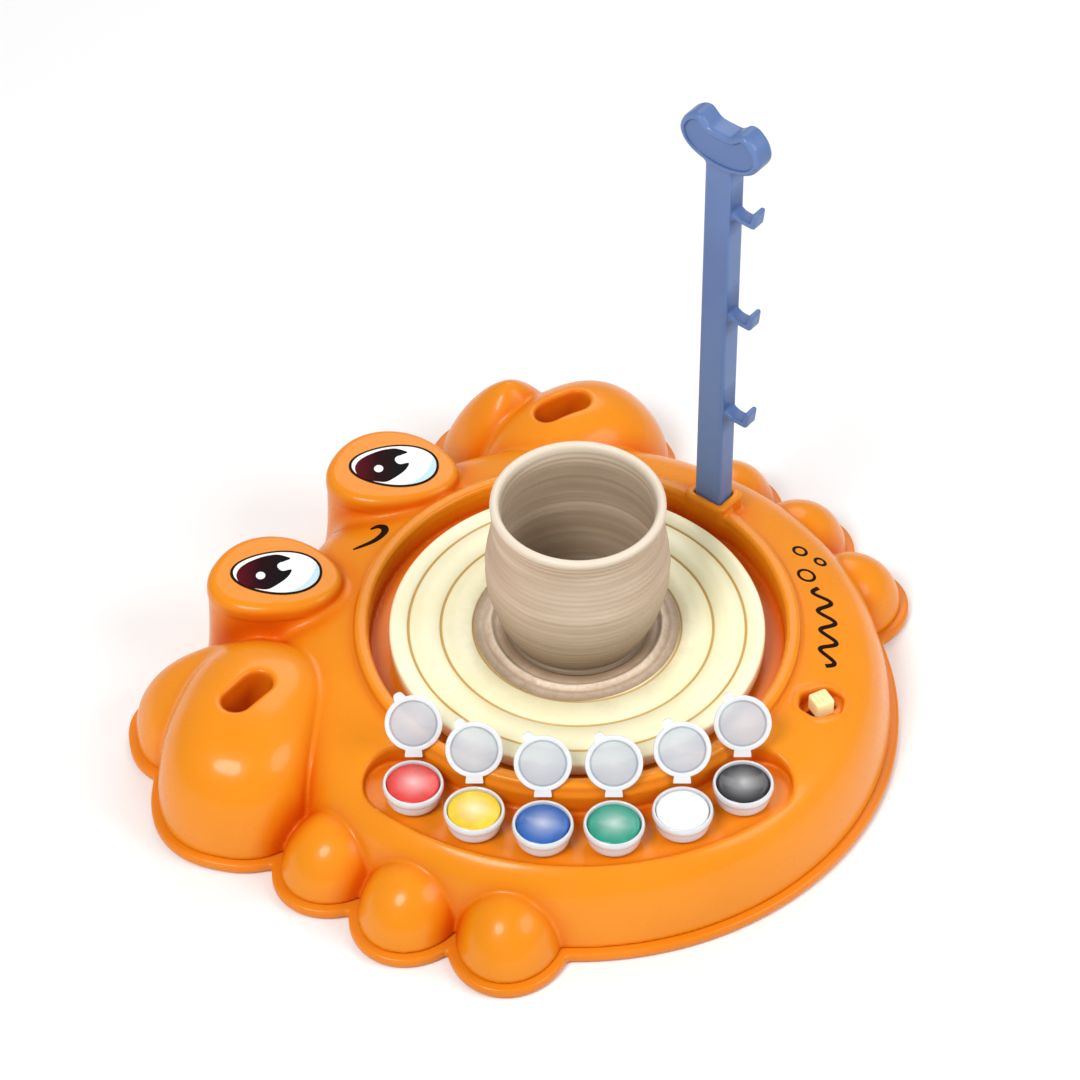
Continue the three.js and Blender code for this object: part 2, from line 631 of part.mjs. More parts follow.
function addDrive(group) {
  const smallTurn = meshTurn(OUTPUT_GEAR.teeth, 0, IDLER_SMALL.teeth, TRAIN_ANGLE);
  const bigTurn = smallTurn;
  const pinionTurn = meshTurn(IDLER_BIG.teeth, bigTurn, PINION.teeth, TRAIN_ANGLE);

  const bore = disc(AXLE_RADIUS + RUNNING, 0, 60, 16);
  const idler = cut(join([solidOf(gear(IDLER_SMALL, 0)), solidOf(gear(IDLER_BIG, 0))]),
    solidOf(bore));
  const idlerMesh = makeMesh("idler_gear", idler, COLORS.nylon, 0.5);
  idlerMesh.position.set(...IDLER_AT, 0);
  idlerMesh.rotation.z = deg(smallTurn);
  group.add(idlerMesh);

  const pinion = makeMesh("motor_pinion", gear(PINION, 1.3), COLORS.copper, 0.3, 1);
  pinion.position.set(...MOTOR_AT, 0);
  pinion.rotation.z = deg(pinionTurn);
  group.add(pinion);
  const shaft = makeMesh("motor_shaft", disc(1, MOTOR.high + 0.2, 35.2, 16), COLORS.steel, 0.25, 1);
  shaft.position.set(...MOTOR_AT, 0);
  group.add(shaft);

  const can = solidOf(disc(MOTOR.radius, MOTOR.low, MOTOR.high, 16));
  const flat = solidOf(block(2 * MOTOR.radius, 2 * MOTOR.flat, MOTOR.low - 1, MOTOR.high + 1));
  const motor = makeMesh("motor", can.intersect(flat), COLORS.steel, 0.35, 1);
  motor.position.set(...MOTOR_AT, 0);
  motor.rotation.z = deg(TRAIN_ANGLE + 90);
  group.add(motor);

  const axle = makeMesh("idler_axle", disc(AXLE_RADIUS, 17, 34.8, 16), COLORS.steel, 0.25, 1);
  axle.position.set(...IDLER_AT, 0);
  group.add(axle);
  group.add(makeMesh("gearbox_frame", gearboxFrame(), COLORS.dark, 0.6));

  const bush = revolve([[SPINDLE_RADIUS + RUNNING, 35.8], [6 - GAP, 35.8], [6 - GAP, 38.6],
    [SPINDLE_RADIUS + RUNNING, 38.6], [SPINDLE_RADIUS + RUNNING, 35.8]], 20);
  group.add(makeMesh("spindle_bush", bush, COLORS.copper, 0.3, 1));
}

function gearboxFrame() {
  const { low, high } = FRAME_PLATE;
  const plate = new THREE.Shape(FRAME_POSTS.concat([[-62, -12], [-58, -36]])
    .sort((a, b) => angleAbout(a) - angleAbout(b))
    .map(([x, y]) => new THREE.Vector2(x, y)));
  const pads = FRAME_POSTS.map(([x, y]) => place(disc(4, 8.3, high, 8), x, y));
  const idlerPad = place(disc(4, 16, high, 8), ...IDLER_AT);
  const body = join([prism(plate, low, high), ...pads, idlerPad].map(solidOf));
  const motorHole = disc(MOTOR.radius + GAP, 5, 30);
  const axleHole = disc(AXLE_RADIUS + GAP, 16.8, 30, 10);
  return cut(body, solidOf(place(motorHole, ...MOTOR_AT)), solidOf(place(axleHole, ...IDLER_AT)));
}

function angleAbout([x, y]) {
  return Math.atan2(y + 20, x + 42);
}

// ---- Electrics ----------------------------------------------------------

function addElectrics(group) {
  for (let i = 0; i < 4; i++) {
    const { radius, length, nub } = CELL;
    const profile = [[0, 0], [radius, 0], [radius, length], [nub, length], [nub, length + 1.2],
      [0, length + 1.2]];
    const cell = revolve(profile, 14).rotateX(i % 2 ? Math.PI / 2 : -Math.PI / 2);
    const piece = makeMesh(`battery_${i + 1}`, cell, COLORS.cell, 0.4);
    const back = (i % 2 ? 1 : -1) * (length / 2 + 0.6);
    piece.position.set(BAY.x + (i - 1.5) * CELL.pitch, BAY.y + back, 3.3 + radius + 0.2);
    group.add(piece);
  }
  for (const [name, side] of [["front", -1], ["back", 1]]) {
    const plate = block(58, 0.6, 4.2, 18);
    const piece = makeMesh(`battery_contact_${name}`, plate, COLORS.steel, 0.3, 1);
    piece.position.set(BAY.x, BAY.y + side * (BAY.length / 2 - 0.8), 0);
    group.add(piece);
  }
  const body = makeMesh("switch_body", atSwitch(block(18, 8, 26, 35.4)), COLORS.dark, 0.5);
  group.add(body);
  const cap = solidOf(beadedPrism(roundedBox(SWITCH.knob, SWITCH.knob, 1.2), SWITCH.floor + GAP,
    SWITCH.top, 0.8, 2));
  const stem = solidOf(block(4, 3.2, 35.8, SWITCH.floor + 1));
  group.add(makeMesh("switch_knob", atSwitch(geometryOf(cap.add(stem))), COLORS.knob, 0.35));
  addLeads(group);
}

// A round lead along a smooth route, held between the two shells.
function lead(points) {
  const section = outline((t) => [0.8 * Math.cos(t), 0.8 * Math.sin(t)], 6);
  const path = new THREE.CatmullRomCurve3(points.map((p) => new THREE.Vector3(...p)));
  return new THREE.ExtrudeGeometry(section, { steps: 18, bevelEnabled: false, extrudePath: path });
}

function addLeads(group) {
  const red = lead([[36.5, 40, 10], [50, 30, 6], [66, 6, 6], [80, -20, 8], [92, -34, 16],
    [96, -38, 25.2]]);
  group.add(makeMesh("lead_red", red, COLORS.red, 0.5));
  const black = lead([[-36.5, 40, 10], [-50, 30, 7], [-62, 12, 6], [-70, -6, 6],
    [-68, -20, 7], [-62.5, -22.6, 8]]);
  group.add(makeMesh("lead_black", black, COLORS.black, 0.5));
}

// ---- Paint cups ---------------------------------------------------------

function cup() {
  const { radius, foot, height, wall, segments } = CUP;
  const profile = [
    [0, 0], [foot - 1, 0], [radius - 0.9, height - 4], [radius, height - 1], [radius - 0.4, height],
    [radius - wall, height], [foot - wall, wall + 1], [0, wall + 0.4],
  ];
  return revolve(profile, segments);
}

function paint() {
  const { radius, foot, height, wall, segments } = CUP;
  const edge = radius - wall - 1.5 * GAP;
  const profile = [
    [0, wall + 0.8], [foot - wall - 0.8, wall + 1.5], [edge, height - 1.2],
    [edge * 0.6, height - 0.3], [0, height + 0.1],
  ];
  return revolve(profile, segments);
}

// The lid in its closed place over a cup at the origin; the hinge is on the +Y side.
function closedLid() {
  const { radius, thickness, rim, strap } = LID;
  const low = CUP.height + LID.lift;
  const flat = disc(radius, low, low + thickness, CUP.segments);
  const skirtCut = disc(radius - rim, low - 1, low + thickness - 0.7, CUP.segments);
  const tab = block(4.2, 5, low, low + thickness).translate(0, -(radius + 0.6), 0).rotateZ(deg(-28));
  const strapPiece = block(strap, LID.reach - radius + 1.2, low, low + 0.8)
    .translate(0, (LID.reach + radius - 1.2) / 2, 0);
  const flange = cut(solidOf(flat), solidOf(skirtCut));
  return join([flange, solidOf(tab), solidOf(strapPiece)]);
}

function addCups(group) {
  PAINTS.forEach(({ name, color }, i) => {
    const [x, y] = polar(CUP_RADIUS, 270 + (i - 2.5) * CUP_STEP);
    const station = new THREE.Group();
    station.position.set(x, y, TRAY.floor + GAP);
    station.add(makeMesh(`paint_cup_${name}`, cup(), COLORS.cup, 0.3));
    station.add(makeMesh(`paint_${name}`, paint(), color, 0.15));
    const hinge = new THREE.Group();
    hinge.position.set(0, LID.reach, CUP.height + LID.lift);
    hinge.rotation.x = -deg(LID.open);
    const lid = makeMesh(`paint_lid_${name}`, closedLid(), COLORS.lid, 0.2);
    lid.position.copy(hinge.position).negate();
    hinge.add(lid);
    station.add(hinge);
    group.add(station);
  });
}

// ---- Tool post ----------------------------------------------------------

// A flat shape in the post's x and z, given thickness along its y.
function upright(shape, depth, round) {
  const geometry = round
    ? beadedPrism(shape, -depth / 2, depth / 2, round, 2)
    : prism(shape, -depth / 2, depth / 2);
  return geometry.rotateX(Math.PI / 2);
}

function hookShape(z) {
  const side = POST.width / 2 - 1;
  const { reach, rise, thickness } = HOOK;
  const out = side + 1 + reach;
  return new THREE.Shape([
    [side, z], [out - 1, z], [out, z + 1], [out + 0.8, z + rise], [out - 1.2, z + rise],
    [out - thickness, z + thickness], [side + 4, z + thickness], [side, z + thickness + 2],
  ].map(([x, y]) => new THREE.Vector2(x, y)));
}

// The head's face, shrunk towards its middle for the panel inside its rim.
function headShape(shrink) {
  const mirrored = HEAD_HALF.slice(1, -1).map(([x, y]) => [-x, y]).reverse();
  const points = [...HEAD_HALF, ...mirrored].map(([x, y]) => {
    const towards = 1 - shrink / Math.hypot(x, y);
    return new THREE.Vector3(x * towards, HEAD.middle + y * towards, 0);
  });
  const curve = new THREE.CatmullRomCurve3(points, true);
  return new THREE.Shape(curve.getPoints(44).slice(1).map(({ x, y }) => new THREE.Vector2(x, y)));
}

function addPost(group) {
  const column = solidOf(prism(roundedBox(POST.width, POST.depth, 0.8), POST.bottom, POST.top, 3));
  const hooks = [0, 1, 2].map((i) => upright(hookShape(HOOK.first + i * HOOK.step), HOOK.width));
  const head = upright(headShape(0), HEAD.depth, HEAD.round);
  const panel = upright(headShape(HEAD.rim), 4).translate(0, -HEAD.depth / 2 - 2 + HEAD.recess, 0);
  const post = cut(join([column, ...hooks.map(solidOf), solidOf(head)]), solidOf(panel));
  group.add(makeMesh("tool_post", atPost(geometryOf(post)), COLORS.post, 0.4));
}

// ---- Whole object -------------------------------------------------------

const wheel = new THREE.Group();
addShell(wheel);
addPrints(wheel);
addTurntable(wheel);
addPot(wheel);
addDrive(wheel);
addElectrics(wheel);
addCups(wheel);
addPost(wheel);

export default wheel;
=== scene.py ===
"""Looks of the crab-shaped toy pottery wheel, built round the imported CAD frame.

Shapes are worked out in millimetres in the frame's axes and turned into metres when a mesh is made.
"""
import json
import math

import bpy
import numpy as np
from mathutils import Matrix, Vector


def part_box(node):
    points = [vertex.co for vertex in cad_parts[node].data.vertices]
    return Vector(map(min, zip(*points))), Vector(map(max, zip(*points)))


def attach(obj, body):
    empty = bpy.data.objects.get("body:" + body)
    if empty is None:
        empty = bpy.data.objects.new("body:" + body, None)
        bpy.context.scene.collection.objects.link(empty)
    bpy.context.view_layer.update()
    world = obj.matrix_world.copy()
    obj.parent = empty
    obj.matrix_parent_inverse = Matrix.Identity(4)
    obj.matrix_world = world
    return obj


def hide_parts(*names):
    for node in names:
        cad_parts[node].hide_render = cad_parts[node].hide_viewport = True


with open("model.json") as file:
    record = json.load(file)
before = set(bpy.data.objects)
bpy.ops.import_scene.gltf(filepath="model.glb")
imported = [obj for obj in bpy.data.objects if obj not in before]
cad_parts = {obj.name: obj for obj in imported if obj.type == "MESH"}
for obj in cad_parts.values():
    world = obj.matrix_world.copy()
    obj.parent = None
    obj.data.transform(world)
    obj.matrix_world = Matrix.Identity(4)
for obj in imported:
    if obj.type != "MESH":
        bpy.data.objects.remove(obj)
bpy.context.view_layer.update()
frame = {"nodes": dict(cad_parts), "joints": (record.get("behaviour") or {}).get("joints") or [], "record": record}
nodes = frame["nodes"]

MM = 0.001
rng = np.random.default_rng(7)


def span(node):
    """Lowest and highest corner of a CAD node, in millimetres."""
    low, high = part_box(node)
    return np.array(low) / MM, np.array(high) / MM


# ---- Camera, in metres --------------------------------------------------

VIEW_ELEVATION = math.radians(45.5)
VIEW_DISTANCE = 2.0
VIEW_WIDTH = 0.431  # of the picture, at the turntable
VIEW_AIM = Vector((-0.0148, 0.0, 0.045))
VIEW_RISE = 0.0359  # of the aim above the turntable's middle, across the view
SENSOR = 36.0


def make_camera():
    data = bpy.data.cameras.new("camera")
    camera = bpy.data.objects.new("camera", data)
    bpy.context.scene.collection.objects.link(camera)
    backwards = Vector((0, -math.cos(VIEW_ELEVATION), math.sin(VIEW_ELEVATION)))
    upwards = Vector((0, math.sin(VIEW_ELEVATION), math.cos(VIEW_ELEVATION)))
    camera.location = VIEW_AIM + upwards * VIEW_RISE + backwards * VIEW_DISTANCE
    camera.rotation_euler = (math.pi / 2 - VIEW_ELEVATION, 0, 0)
    data.sensor_width = SENSOR
    data.lens = SENSOR * VIEW_DISTANCE / VIEW_WIDTH
    data.clip_end = 20
    bpy.context.scene.camera = camera


make_camera()

# ---- Dimensions, most of them shared with the CAD model, in millimetres --

SEAM = 5.3
WALL = 2.6
SHELL_CENTRE = (-1.0, -4.0)
SHELL_SLOPE = [
    (128, 4), (126.8, 14), (124.6, 24), (121.5, 31.5), (117, 37), (110.5, 41),
    (102, 44), (93, 46.5), (86, 47.5),
]
SHELL_FOOT = 128.3
UNDERGROUND = -20  # where forms that are cut off at the ground begin
OVERHEAD = 90  # where the cuts down into the shell begin
RING_OUTER = 89.0
RING_INNER = 83.0
RING_TOP = 50.6
WELL_FLOOR = 38.0
SPINDLE_HOLE = 6.1

# A lobe's power squares its flanks, its plan power squares its outline, and its tilt lowers its tip.
LEG = dict(along=25, across=21, height=29, power=2.15, plan=2.0, tilt=0.0)
LEG_PLACES = [(128, (223, 240, 258)), (121, (59, 42, 25))]
FINGERS = [
    dict(along=48, across=35, height=51, power=3.0, plan=2.4, tilt=0.0),
    dict(along=42.5, across=32.3, height=47.7, power=2.2, plan=2.3, tilt=0.0),
]
THUMBS = [
    dict(along=28, across=24, height=39, power=3.2, plan=2.4, tilt=0.3),
    dict(along=24, across=29.5, height=46.5, power=1.5, plan=2.3, tilt=0.0),
]
CLAWS = [
    dict(finger=(-129, -39, 255), thumb=(-149, -18, 190), slot=(-130, -38, 50)),
    dict(finger=(-1, 127.3, 32), thumb=(-28.4, 141, 113), slot=(-5.5, 128, 26)),
]
SLOT = dict(length=24, width=12, floor=22, top=120)
EYES = {"near": (-122, 25), "far": (-76, 86)}
EYE = dict(along=27, across=21.5, top=52, bead=7, stalk_inset=0.5)
EYE_PRINT = dict(along=18.5, across=12.2, shift=2)
TRAY = dict(radius=104.2, half=13.7, angle=42, floor=37)
SWITCH = dict(x=96, y=-38, turn=28, length=21, width=12, floor=39.5, stem_length=12, stem_width=4,
              stem_low=30)
POST = dict(radius=88.9, angle=51, width=12.5, depth=9, bottom=40, top=238)
SOCKET = dict(width=19.5, depth=16, top=54, floor=37, clearance=0.35)
HOOK = dict(first=102, step=53, reach=11, rise=8.5, width=6, thickness=2.4)
HEAD = dict(middle=242.4, depth=10, rim=2.6, recess=1.0)
HEAD_HALF = [
    (0, -10.8), (9.5, -9.4), (16, -5.8), (19, 0), (17.4, 6), (13.4, 9.9), (9.6, 10.6), (6.8, 8.4),
    (4.6, 6.9), (0, 6.6),
]
BASE = dict(radius=128, low=1.0, high=5.0, standout=3.15, hollow=123, floor=3.5, above=9, under=-1)
BOSS = dict(radius=7, top=10)
BAY = dict(x=0, y=63, width=64, length=57, top=20, wall=2.5)
DOOR = dict(width=60, length=53, tab=12, tab_end=102.5, ledge=2, gap=0.3, seat=3.3)
SCREW = dict(seat=4.2, seat_top=2, bore=1.8)
FOOT_SEAT = dict(radius=8.3, top=2.5)
SCREWS = [(108, angle) for angle in (0, 68, 105, 165, 240, 285)]
FEET = [(0, 0), (100, 35), (100, 130), (100, 215), (100, 305)]
GROOVES = (41.4, 54.3, 67.3)
TABLE_RADIUS = 75.0
SLIP = dict(edge=41.4, outer=41.2, inner=24, roll=34.4, ripple=38)
TABLE_TOP = span("turntable")[1][2]
LID_LINE = 8.9  # radius of the groove moulded into a lid's panel

# Blending distances where forms meet; those of a plan shape the base.
BLEND = dict(
    leg=1.3, leg_plan=2.0, finger=2.5, finger_plan=1.8, claw=2.0, stalk=5.0, eye_plan=3.0, plate=0.8,
    ring=1.6, collar=1.8, well=1.4, tray=2.2, switch=0.9, slot=2.6, socket=0.7,
)
GRID = 1.05


# ---- Meshes -------------------------------------------------------------


def make_mesh(name, vertices, faces):
    """A mesh from vertices in millimetres."""
    mesh = bpy.data.meshes.new(name)
    points = np.asarray(vertices, float) * MM
    mesh.from_pydata(points.tolist(), [], [list(map(int, face)) for face in faces])
    return mesh


def make_object(name, vertices, faces, material, body, slot, replaces=(), sharp=None):
    """A smooth piece from millimetre vertices, riding on a CAD body."""
    mesh = make_mesh(name, vertices, faces)
    mesh.validate()
    mesh.shade_smooth()
    if sharp is not None:
        mesh.set_sharp_from_angle(angle=math.radians(sharp))
    mesh.materials.append(material)
    piece = bpy.data.objects.new(name, mesh)
    bpy.context.scene.collection.objects.link(piece)
    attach(piece, body)
    if replaces:
        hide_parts(*replaces)
    return piece


def soften(points, radius, steps=4, closed=False):
    """A polyline with each corner rounded by an arc-like curve."""
    points = [np.array(p, float) for p in points]
    count = len(points)
    out = []
    for i, corner in enumerate(points):
        if not closed and i in (0, count - 1):
            out.append(corner)
            continue
        before = points[i - 1]
        after = points[(i + 1) % count]
        back = before - corner
        ahead = after - corner
        reach = min(radius, np.linalg.norm(back) / 2.1, np.linalg.norm(ahead) / 2.1)
        start = corner + back / np.linalg.norm(back) * reach
        end = corner + ahead / np.linalg.norm(ahead) * reach
        for step in range(steps + 1):
            t = step / steps
            out.append((1 - t) ** 2 * start + 2 * t * (1 - t) * corner + t * t * end)
    return np.array(out)


def spline(points, per=6, closed=False):
    """A Catmull-Rom curve through the points."""
    points = np.array(points, float)
    count = len(points)
    spans = count if closed else count - 1
    out = []
    for i in range(spans):
        if closed:
            a, b, c, d = (points[(i + k) % count] for k in (-1, 0, 1, 2))
        else:
            b, c = points[i], points[i + 1]
            a = points[i - 1] if i else 2 * b - c
            d = points[i + 2] if i + 2 < count else 2 * c - b
        for step in range(per):
            t = step / per
            out.append(0.5 * (2 * b + (c - a) * t + (2 * a - 5 * b + 4 * c - d) * t * t
                              + (3 * b - a - 3 * c + d) * t ** 3))
    if not closed:
        out.append(points[-1])
    return np.array(out)


def revolve(profile, segments=96, centre=(0, 0), warp=None):
    """Vertices and faces of a profile of radius and height turned about Z, capped on the axis."""
    vertices = []
    rows = []
    angles = np.arange(segments) * 2 * math.pi / segments
    for radius, height in profile:
        if radius < 1e-6:
            rows.append([len(vertices)] * segments)
            vertices.append((centre[0], centre[1], height))
            continue
        rows.append(list(range(len(vertices), len(vertices) + segments)))
        out = np.full(segments, radius) if warp is None else radius + warp(angles, radius, height)
        vertices.extend(zip(centre[0] + out * np.cos(angles), centre[1] + out * np.sin(angles),
                            np.full(segments, height)))
    faces = []
    for low, high in zip(rows[:-1], rows[1:]):
        for i in range(segments):
            j = (i + 1) % segments
            ring = [low[i], low[j], high[j], high[i]]
            face = [v for k, v in enumerate(ring) if v != ring[k - 1]]
            if len(face) > 2:
                faces.append(face)
    return vertices, faces


def closed_revolve(profile, segments):
    """The same for a closed section that doesn't touch the axis."""
    vertices, faces = revolve(profile, segments)
    count = len(profile)
    for i in range(segments):
        j = (i + 1) % segments
        last = (count - 1) * segments
        faces.append([last + i, last + j, j, i])
    return vertices, faces


def stacked_faces(levels, count):
    """Faces of a stack of anticlockwise outlines, each of count points, closed at both ends."""
    faces = []
    for row in range(levels - 1):
        for i in range(count):
            j = (i + 1) % count
            faces.append([row * count + i, row * count + j, (row + 1) * count + j,
                          (row + 1) * count + i])
    top = (levels - 1) * count
    faces.append(list(range(top, top + count)))
    faces.append(list(range(count - 1, -1, -1)))
    return faces


def slab(outline, low, high, edge, steps=2):
    """A flat piece with a rounded upper edge, from an anticlockwise outline."""
    outline = np.array(outline, float)
    ahead = np.roll(outline, -1, axis=0) - outline
    back = outline - np.roll(outline, 1, axis=0)
    along = ahead / np.linalg.norm(ahead, axis=1)[:, None] + back / np.linalg.norm(back, axis=1)[:, None]
    inward = np.stack([-along[:, 1], along[:, 0]], axis=1)
    inward /= np.maximum(np.linalg.norm(inward, axis=1), 1e-9)[:, None]
    levels = [(0.0, low), (0.0, high - edge)]
    for step in range(1, steps + 1):
        t = step / steps * math.pi / 2
        levels.append((edge * (1 - math.cos(t)), high - edge + edge * math.sin(t)))
    vertices = []
    for inset, height in levels:
        ring = outline + inward * inset
        vertices.extend((x, y, height) for x, y in ring)
    return vertices, stacked_faces(len(levels), len(outline))


def merge(*parts):
    """Several (vertices, faces) lists as one."""
    vertices = []
    faces = []
    for more_vertices, more_faces in parts:
        start = len(vertices)
        vertices.extend(more_vertices)
        faces.extend([v + start for v in face] for face in more_faces)
    return vertices, faces


def turned(points, angle, centre=(0, 0)):
    """Plan points turned by an angle in degrees and moved to a centre."""
    points = np.array(points, float)
    c, s = math.cos(math.radians(angle)), math.sin(math.radians(angle))
    x = points[:, 0] * c - points[:, 1] * s + centre[0]
    y = points[:, 0] * s + points[:, 1] * c + centre[1]
    return np.stack([x, y], axis=1)


def polar(radius, angle):
    return radius * math.cos(math.radians(angle)), radius * math.sin(math.radians(angle))


# ---- Distance fields ----------------------------------------------------


def smooth_min(a, b, k):
    h = np.clip(0.5 + 0.5 * (b - a) / k, 0, 1)
    return b * (1 - h) + a * h - k * h * (1 - h)


def smooth_max(a, b, k):
    return -smooth_min(-a, -b, k)


def polygon_distance(x, y, outline):
    """Signed distance to a closed outline, negative inside."""
    best = np.full(x.shape, 1e9)
    inside = np.zeros(x.shape, bool)
    for (ax, ay), (bx, by) in zip(outline, np.roll(outline, -1, axis=0)):
        ex, ey = bx - ax, by - ay
        px, py = x - ax, y - ay
        t = np.clip((px * ex + py * ey) / max(ex * ex + ey * ey, 1e-12), 0, 1)
        best = np.minimum(best, (px - ex * t) ** 2 + (py - ey * t) ** 2)
        crossing = (ay > y) != (by > y)
        with np.errstate(divide="ignore", invalid="ignore"):
            side = x < (bx - ax) * (y - ay) / (by - ay) + ax
        inside ^= crossing & side
    best = np.sqrt(best)
    return np.where(inside, -best, best)


class Table:
    """A plan or section distance field, sampled once and then looked up."""

    def __init__(self, outline, low, high, step=0.5):
        self.low = np.array(low, float)
        self.step = step
        counts = np.ceil((np.array(high, float) - self.low) / step).astype(int) + 1
        u = self.low[0] + np.arange(counts[0]) * step
        v = self.low[1] + np.arange(counts[1]) * step
        grid_u, grid_v = np.meshgrid(u, v, indexing="ij")
        self.values = polygon_distance(grid_u, grid_v, np.array(outline, float))

    def __call__(self, u, v):
        at_u = np.clip((u - self.low[0]) / self.step, 0, self.values.shape[0] - 1.001)
        at_v = np.clip((v - self.low[1]) / self.step, 0, self.values.shape[1] - 1.001)
        i, j = at_u.astype(int), at_v.astype(int)
        s, t = at_u - i, at_v - j
        f = self.values
        near = f[i, j] * (1 - t) + f[i, j + 1] * t
        far = f[i + 1, j] * (1 - t) + f[i + 1, j + 1] * t
        return near * (1 - s) + far * s


def in_frame(p, x, y, turn):
    """Plan coordinates along and across a direction turned by an angle in degrees, from a place."""
    c, s = math.cos(math.radians(turn)), math.sin(math.radians(turn))
    dx, dy = p[:, 0] - x, p[:, 1] - y
    return dx * c + dy * s, dy * c - dx * s


def prism_distance(plan, z, low, high, edge):
    """A plan distance given height, with rounded edges."""
    side = plan + edge
    level = np.abs(z - (low + high) / 2) - (high - low) / 2 + edge
    outside = np.hypot(np.maximum(side, 0), np.maximum(level, 0))
    return outside + np.minimum(np.maximum(side, level), 0) - edge


def dome_distance(p, size, x, y, turn):
    """Roughly the distance to a lobe standing on the ground, its tip turned by an angle."""
    along, across = in_frame(p, x, y, turn)
    u, v = along / size["along"], across / size["across"]
    plan, power = size["plan"], size["power"]
    height = size["height"] * np.maximum(1 - size["tilt"] * u, 0.4)
    z = np.maximum(p[:, 2], 0) / height
    q = (np.abs(u) ** plan + np.abs(v) ** plan) ** (1 / plan) + 1e-6
    k = (q ** power + z ** power) ** (1 / power) + 1e-6
    slope_q = np.hypot((np.abs(u) / q) ** (plan - 1) / size["along"],
                       (np.abs(v) / q) ** (plan - 1) / size["across"])
    slope = np.hypot((q / k) ** (power - 1) * slope_q, (z / k) ** (power - 1) / height)
    return (k - 1) / np.maximum(slope, 1 / 90)


def capsule_plan(p, x, y, turn, length, width):
    u, v = in_frame(p, x, y, turn)
    reach = (length - width) / 2
    return np.hypot(u - np.clip(u, -reach, reach), v) - width / 2


def egg(along, across, bulge=0.05, turn=100, count=72):
    t = np.arange(count) * 2 * math.pi / count
    swell = 1 + bulge * np.cos(3 * (t - math.radians(turn)))
    return np.stack([along * swell * np.cos(t), across * swell * np.sin(t)], axis=1)


def switch_outline():
    """The switch well's six-sided plan about its middle."""
    half, side = SWITCH["length"] / 2, SWITCH["width"] / 2
    flat = half - side * 0.75
    corners = [(half, 0), (flat, side), (-flat, side), (-half, 0), (-flat, -side), (flat, -side)]
    return soften(corners, 2.2, 4, closed=True)


slope_curve = spline(SHELL_SLOPE, 5)
SECTION = [(0, UNDERGROUND), (SHELL_FOOT, UNDERGROUND), *map(tuple, slope_curve),
           (0, SHELL_SLOPE[-1][1])]
shell_section = Table(SECTION, (-2, -22), (190, 75), 0.6)
eye_plan = Table(egg(EYE["along"], EYE["across"]), (-45, -40), (45, 40))
switch_plan = Table(switch_outline(), (-20, -16), (20, 16), 0.4)


def tray_plan(p):
    radius = np.hypot(p[:, 0], p[:, 1])
    angle = np.arctan2(p[:, 0], -p[:, 1])
    limit = math.radians(TRAY["angle"])
    end_x, end_y = TRAY["radius"] * math.sin(limit), -TRAY["radius"] * math.cos(limit)
    to_end = np.hypot(np.abs(p[:, 0]) - end_x, p[:, 1] - end_y)
    middle_part = np.abs(radius - TRAY["radius"])
    return np.where(np.abs(angle) < limit, middle_part, to_end) - TRAY["half"]


def in_switch(p):
    return in_frame(p, SWITCH["x"], SWITCH["y"], SWITCH["turn"])


def in_post(p):
    """Coordinates along the ring and outwards at the post."""
    outwards, across = in_frame(p, *polar(POST["radius"], POST["angle"]), POST["angle"])
    return -across, outwards


def box_plan(u, v, width, depth, corner):
    a = np.abs(u) - width / 2 + corner
    b = np.abs(v) - depth / 2 + corner
    return np.hypot(np.maximum(a, 0), np.maximum(b, 0)) + np.minimum(np.maximum(a, b), 0) - corner


def leg_places():
    for radius, angles in LEG_PLACES:
        for angle in angles:
            yield (*polar(radius, angle), angle)


def with_limbs(d, p, leg_blend, claw_blend):
    """A distance with the legs and the two claws joined on."""
    for place in leg_places():
        d = smooth_min(d, dome_distance(p, LEG, *place), leg_blend)
    for claw, finger_size, thumb_size in zip(CLAWS, FINGERS, THUMBS):
        finger = dome_distance(p, finger_size, *claw["finger"])
        thumb = dome_distance(p, thumb_size, *claw["thumb"])
        d = smooth_min(d, smooth_min(finger, thumb, claw_blend), BLEND["claw"])
    return d


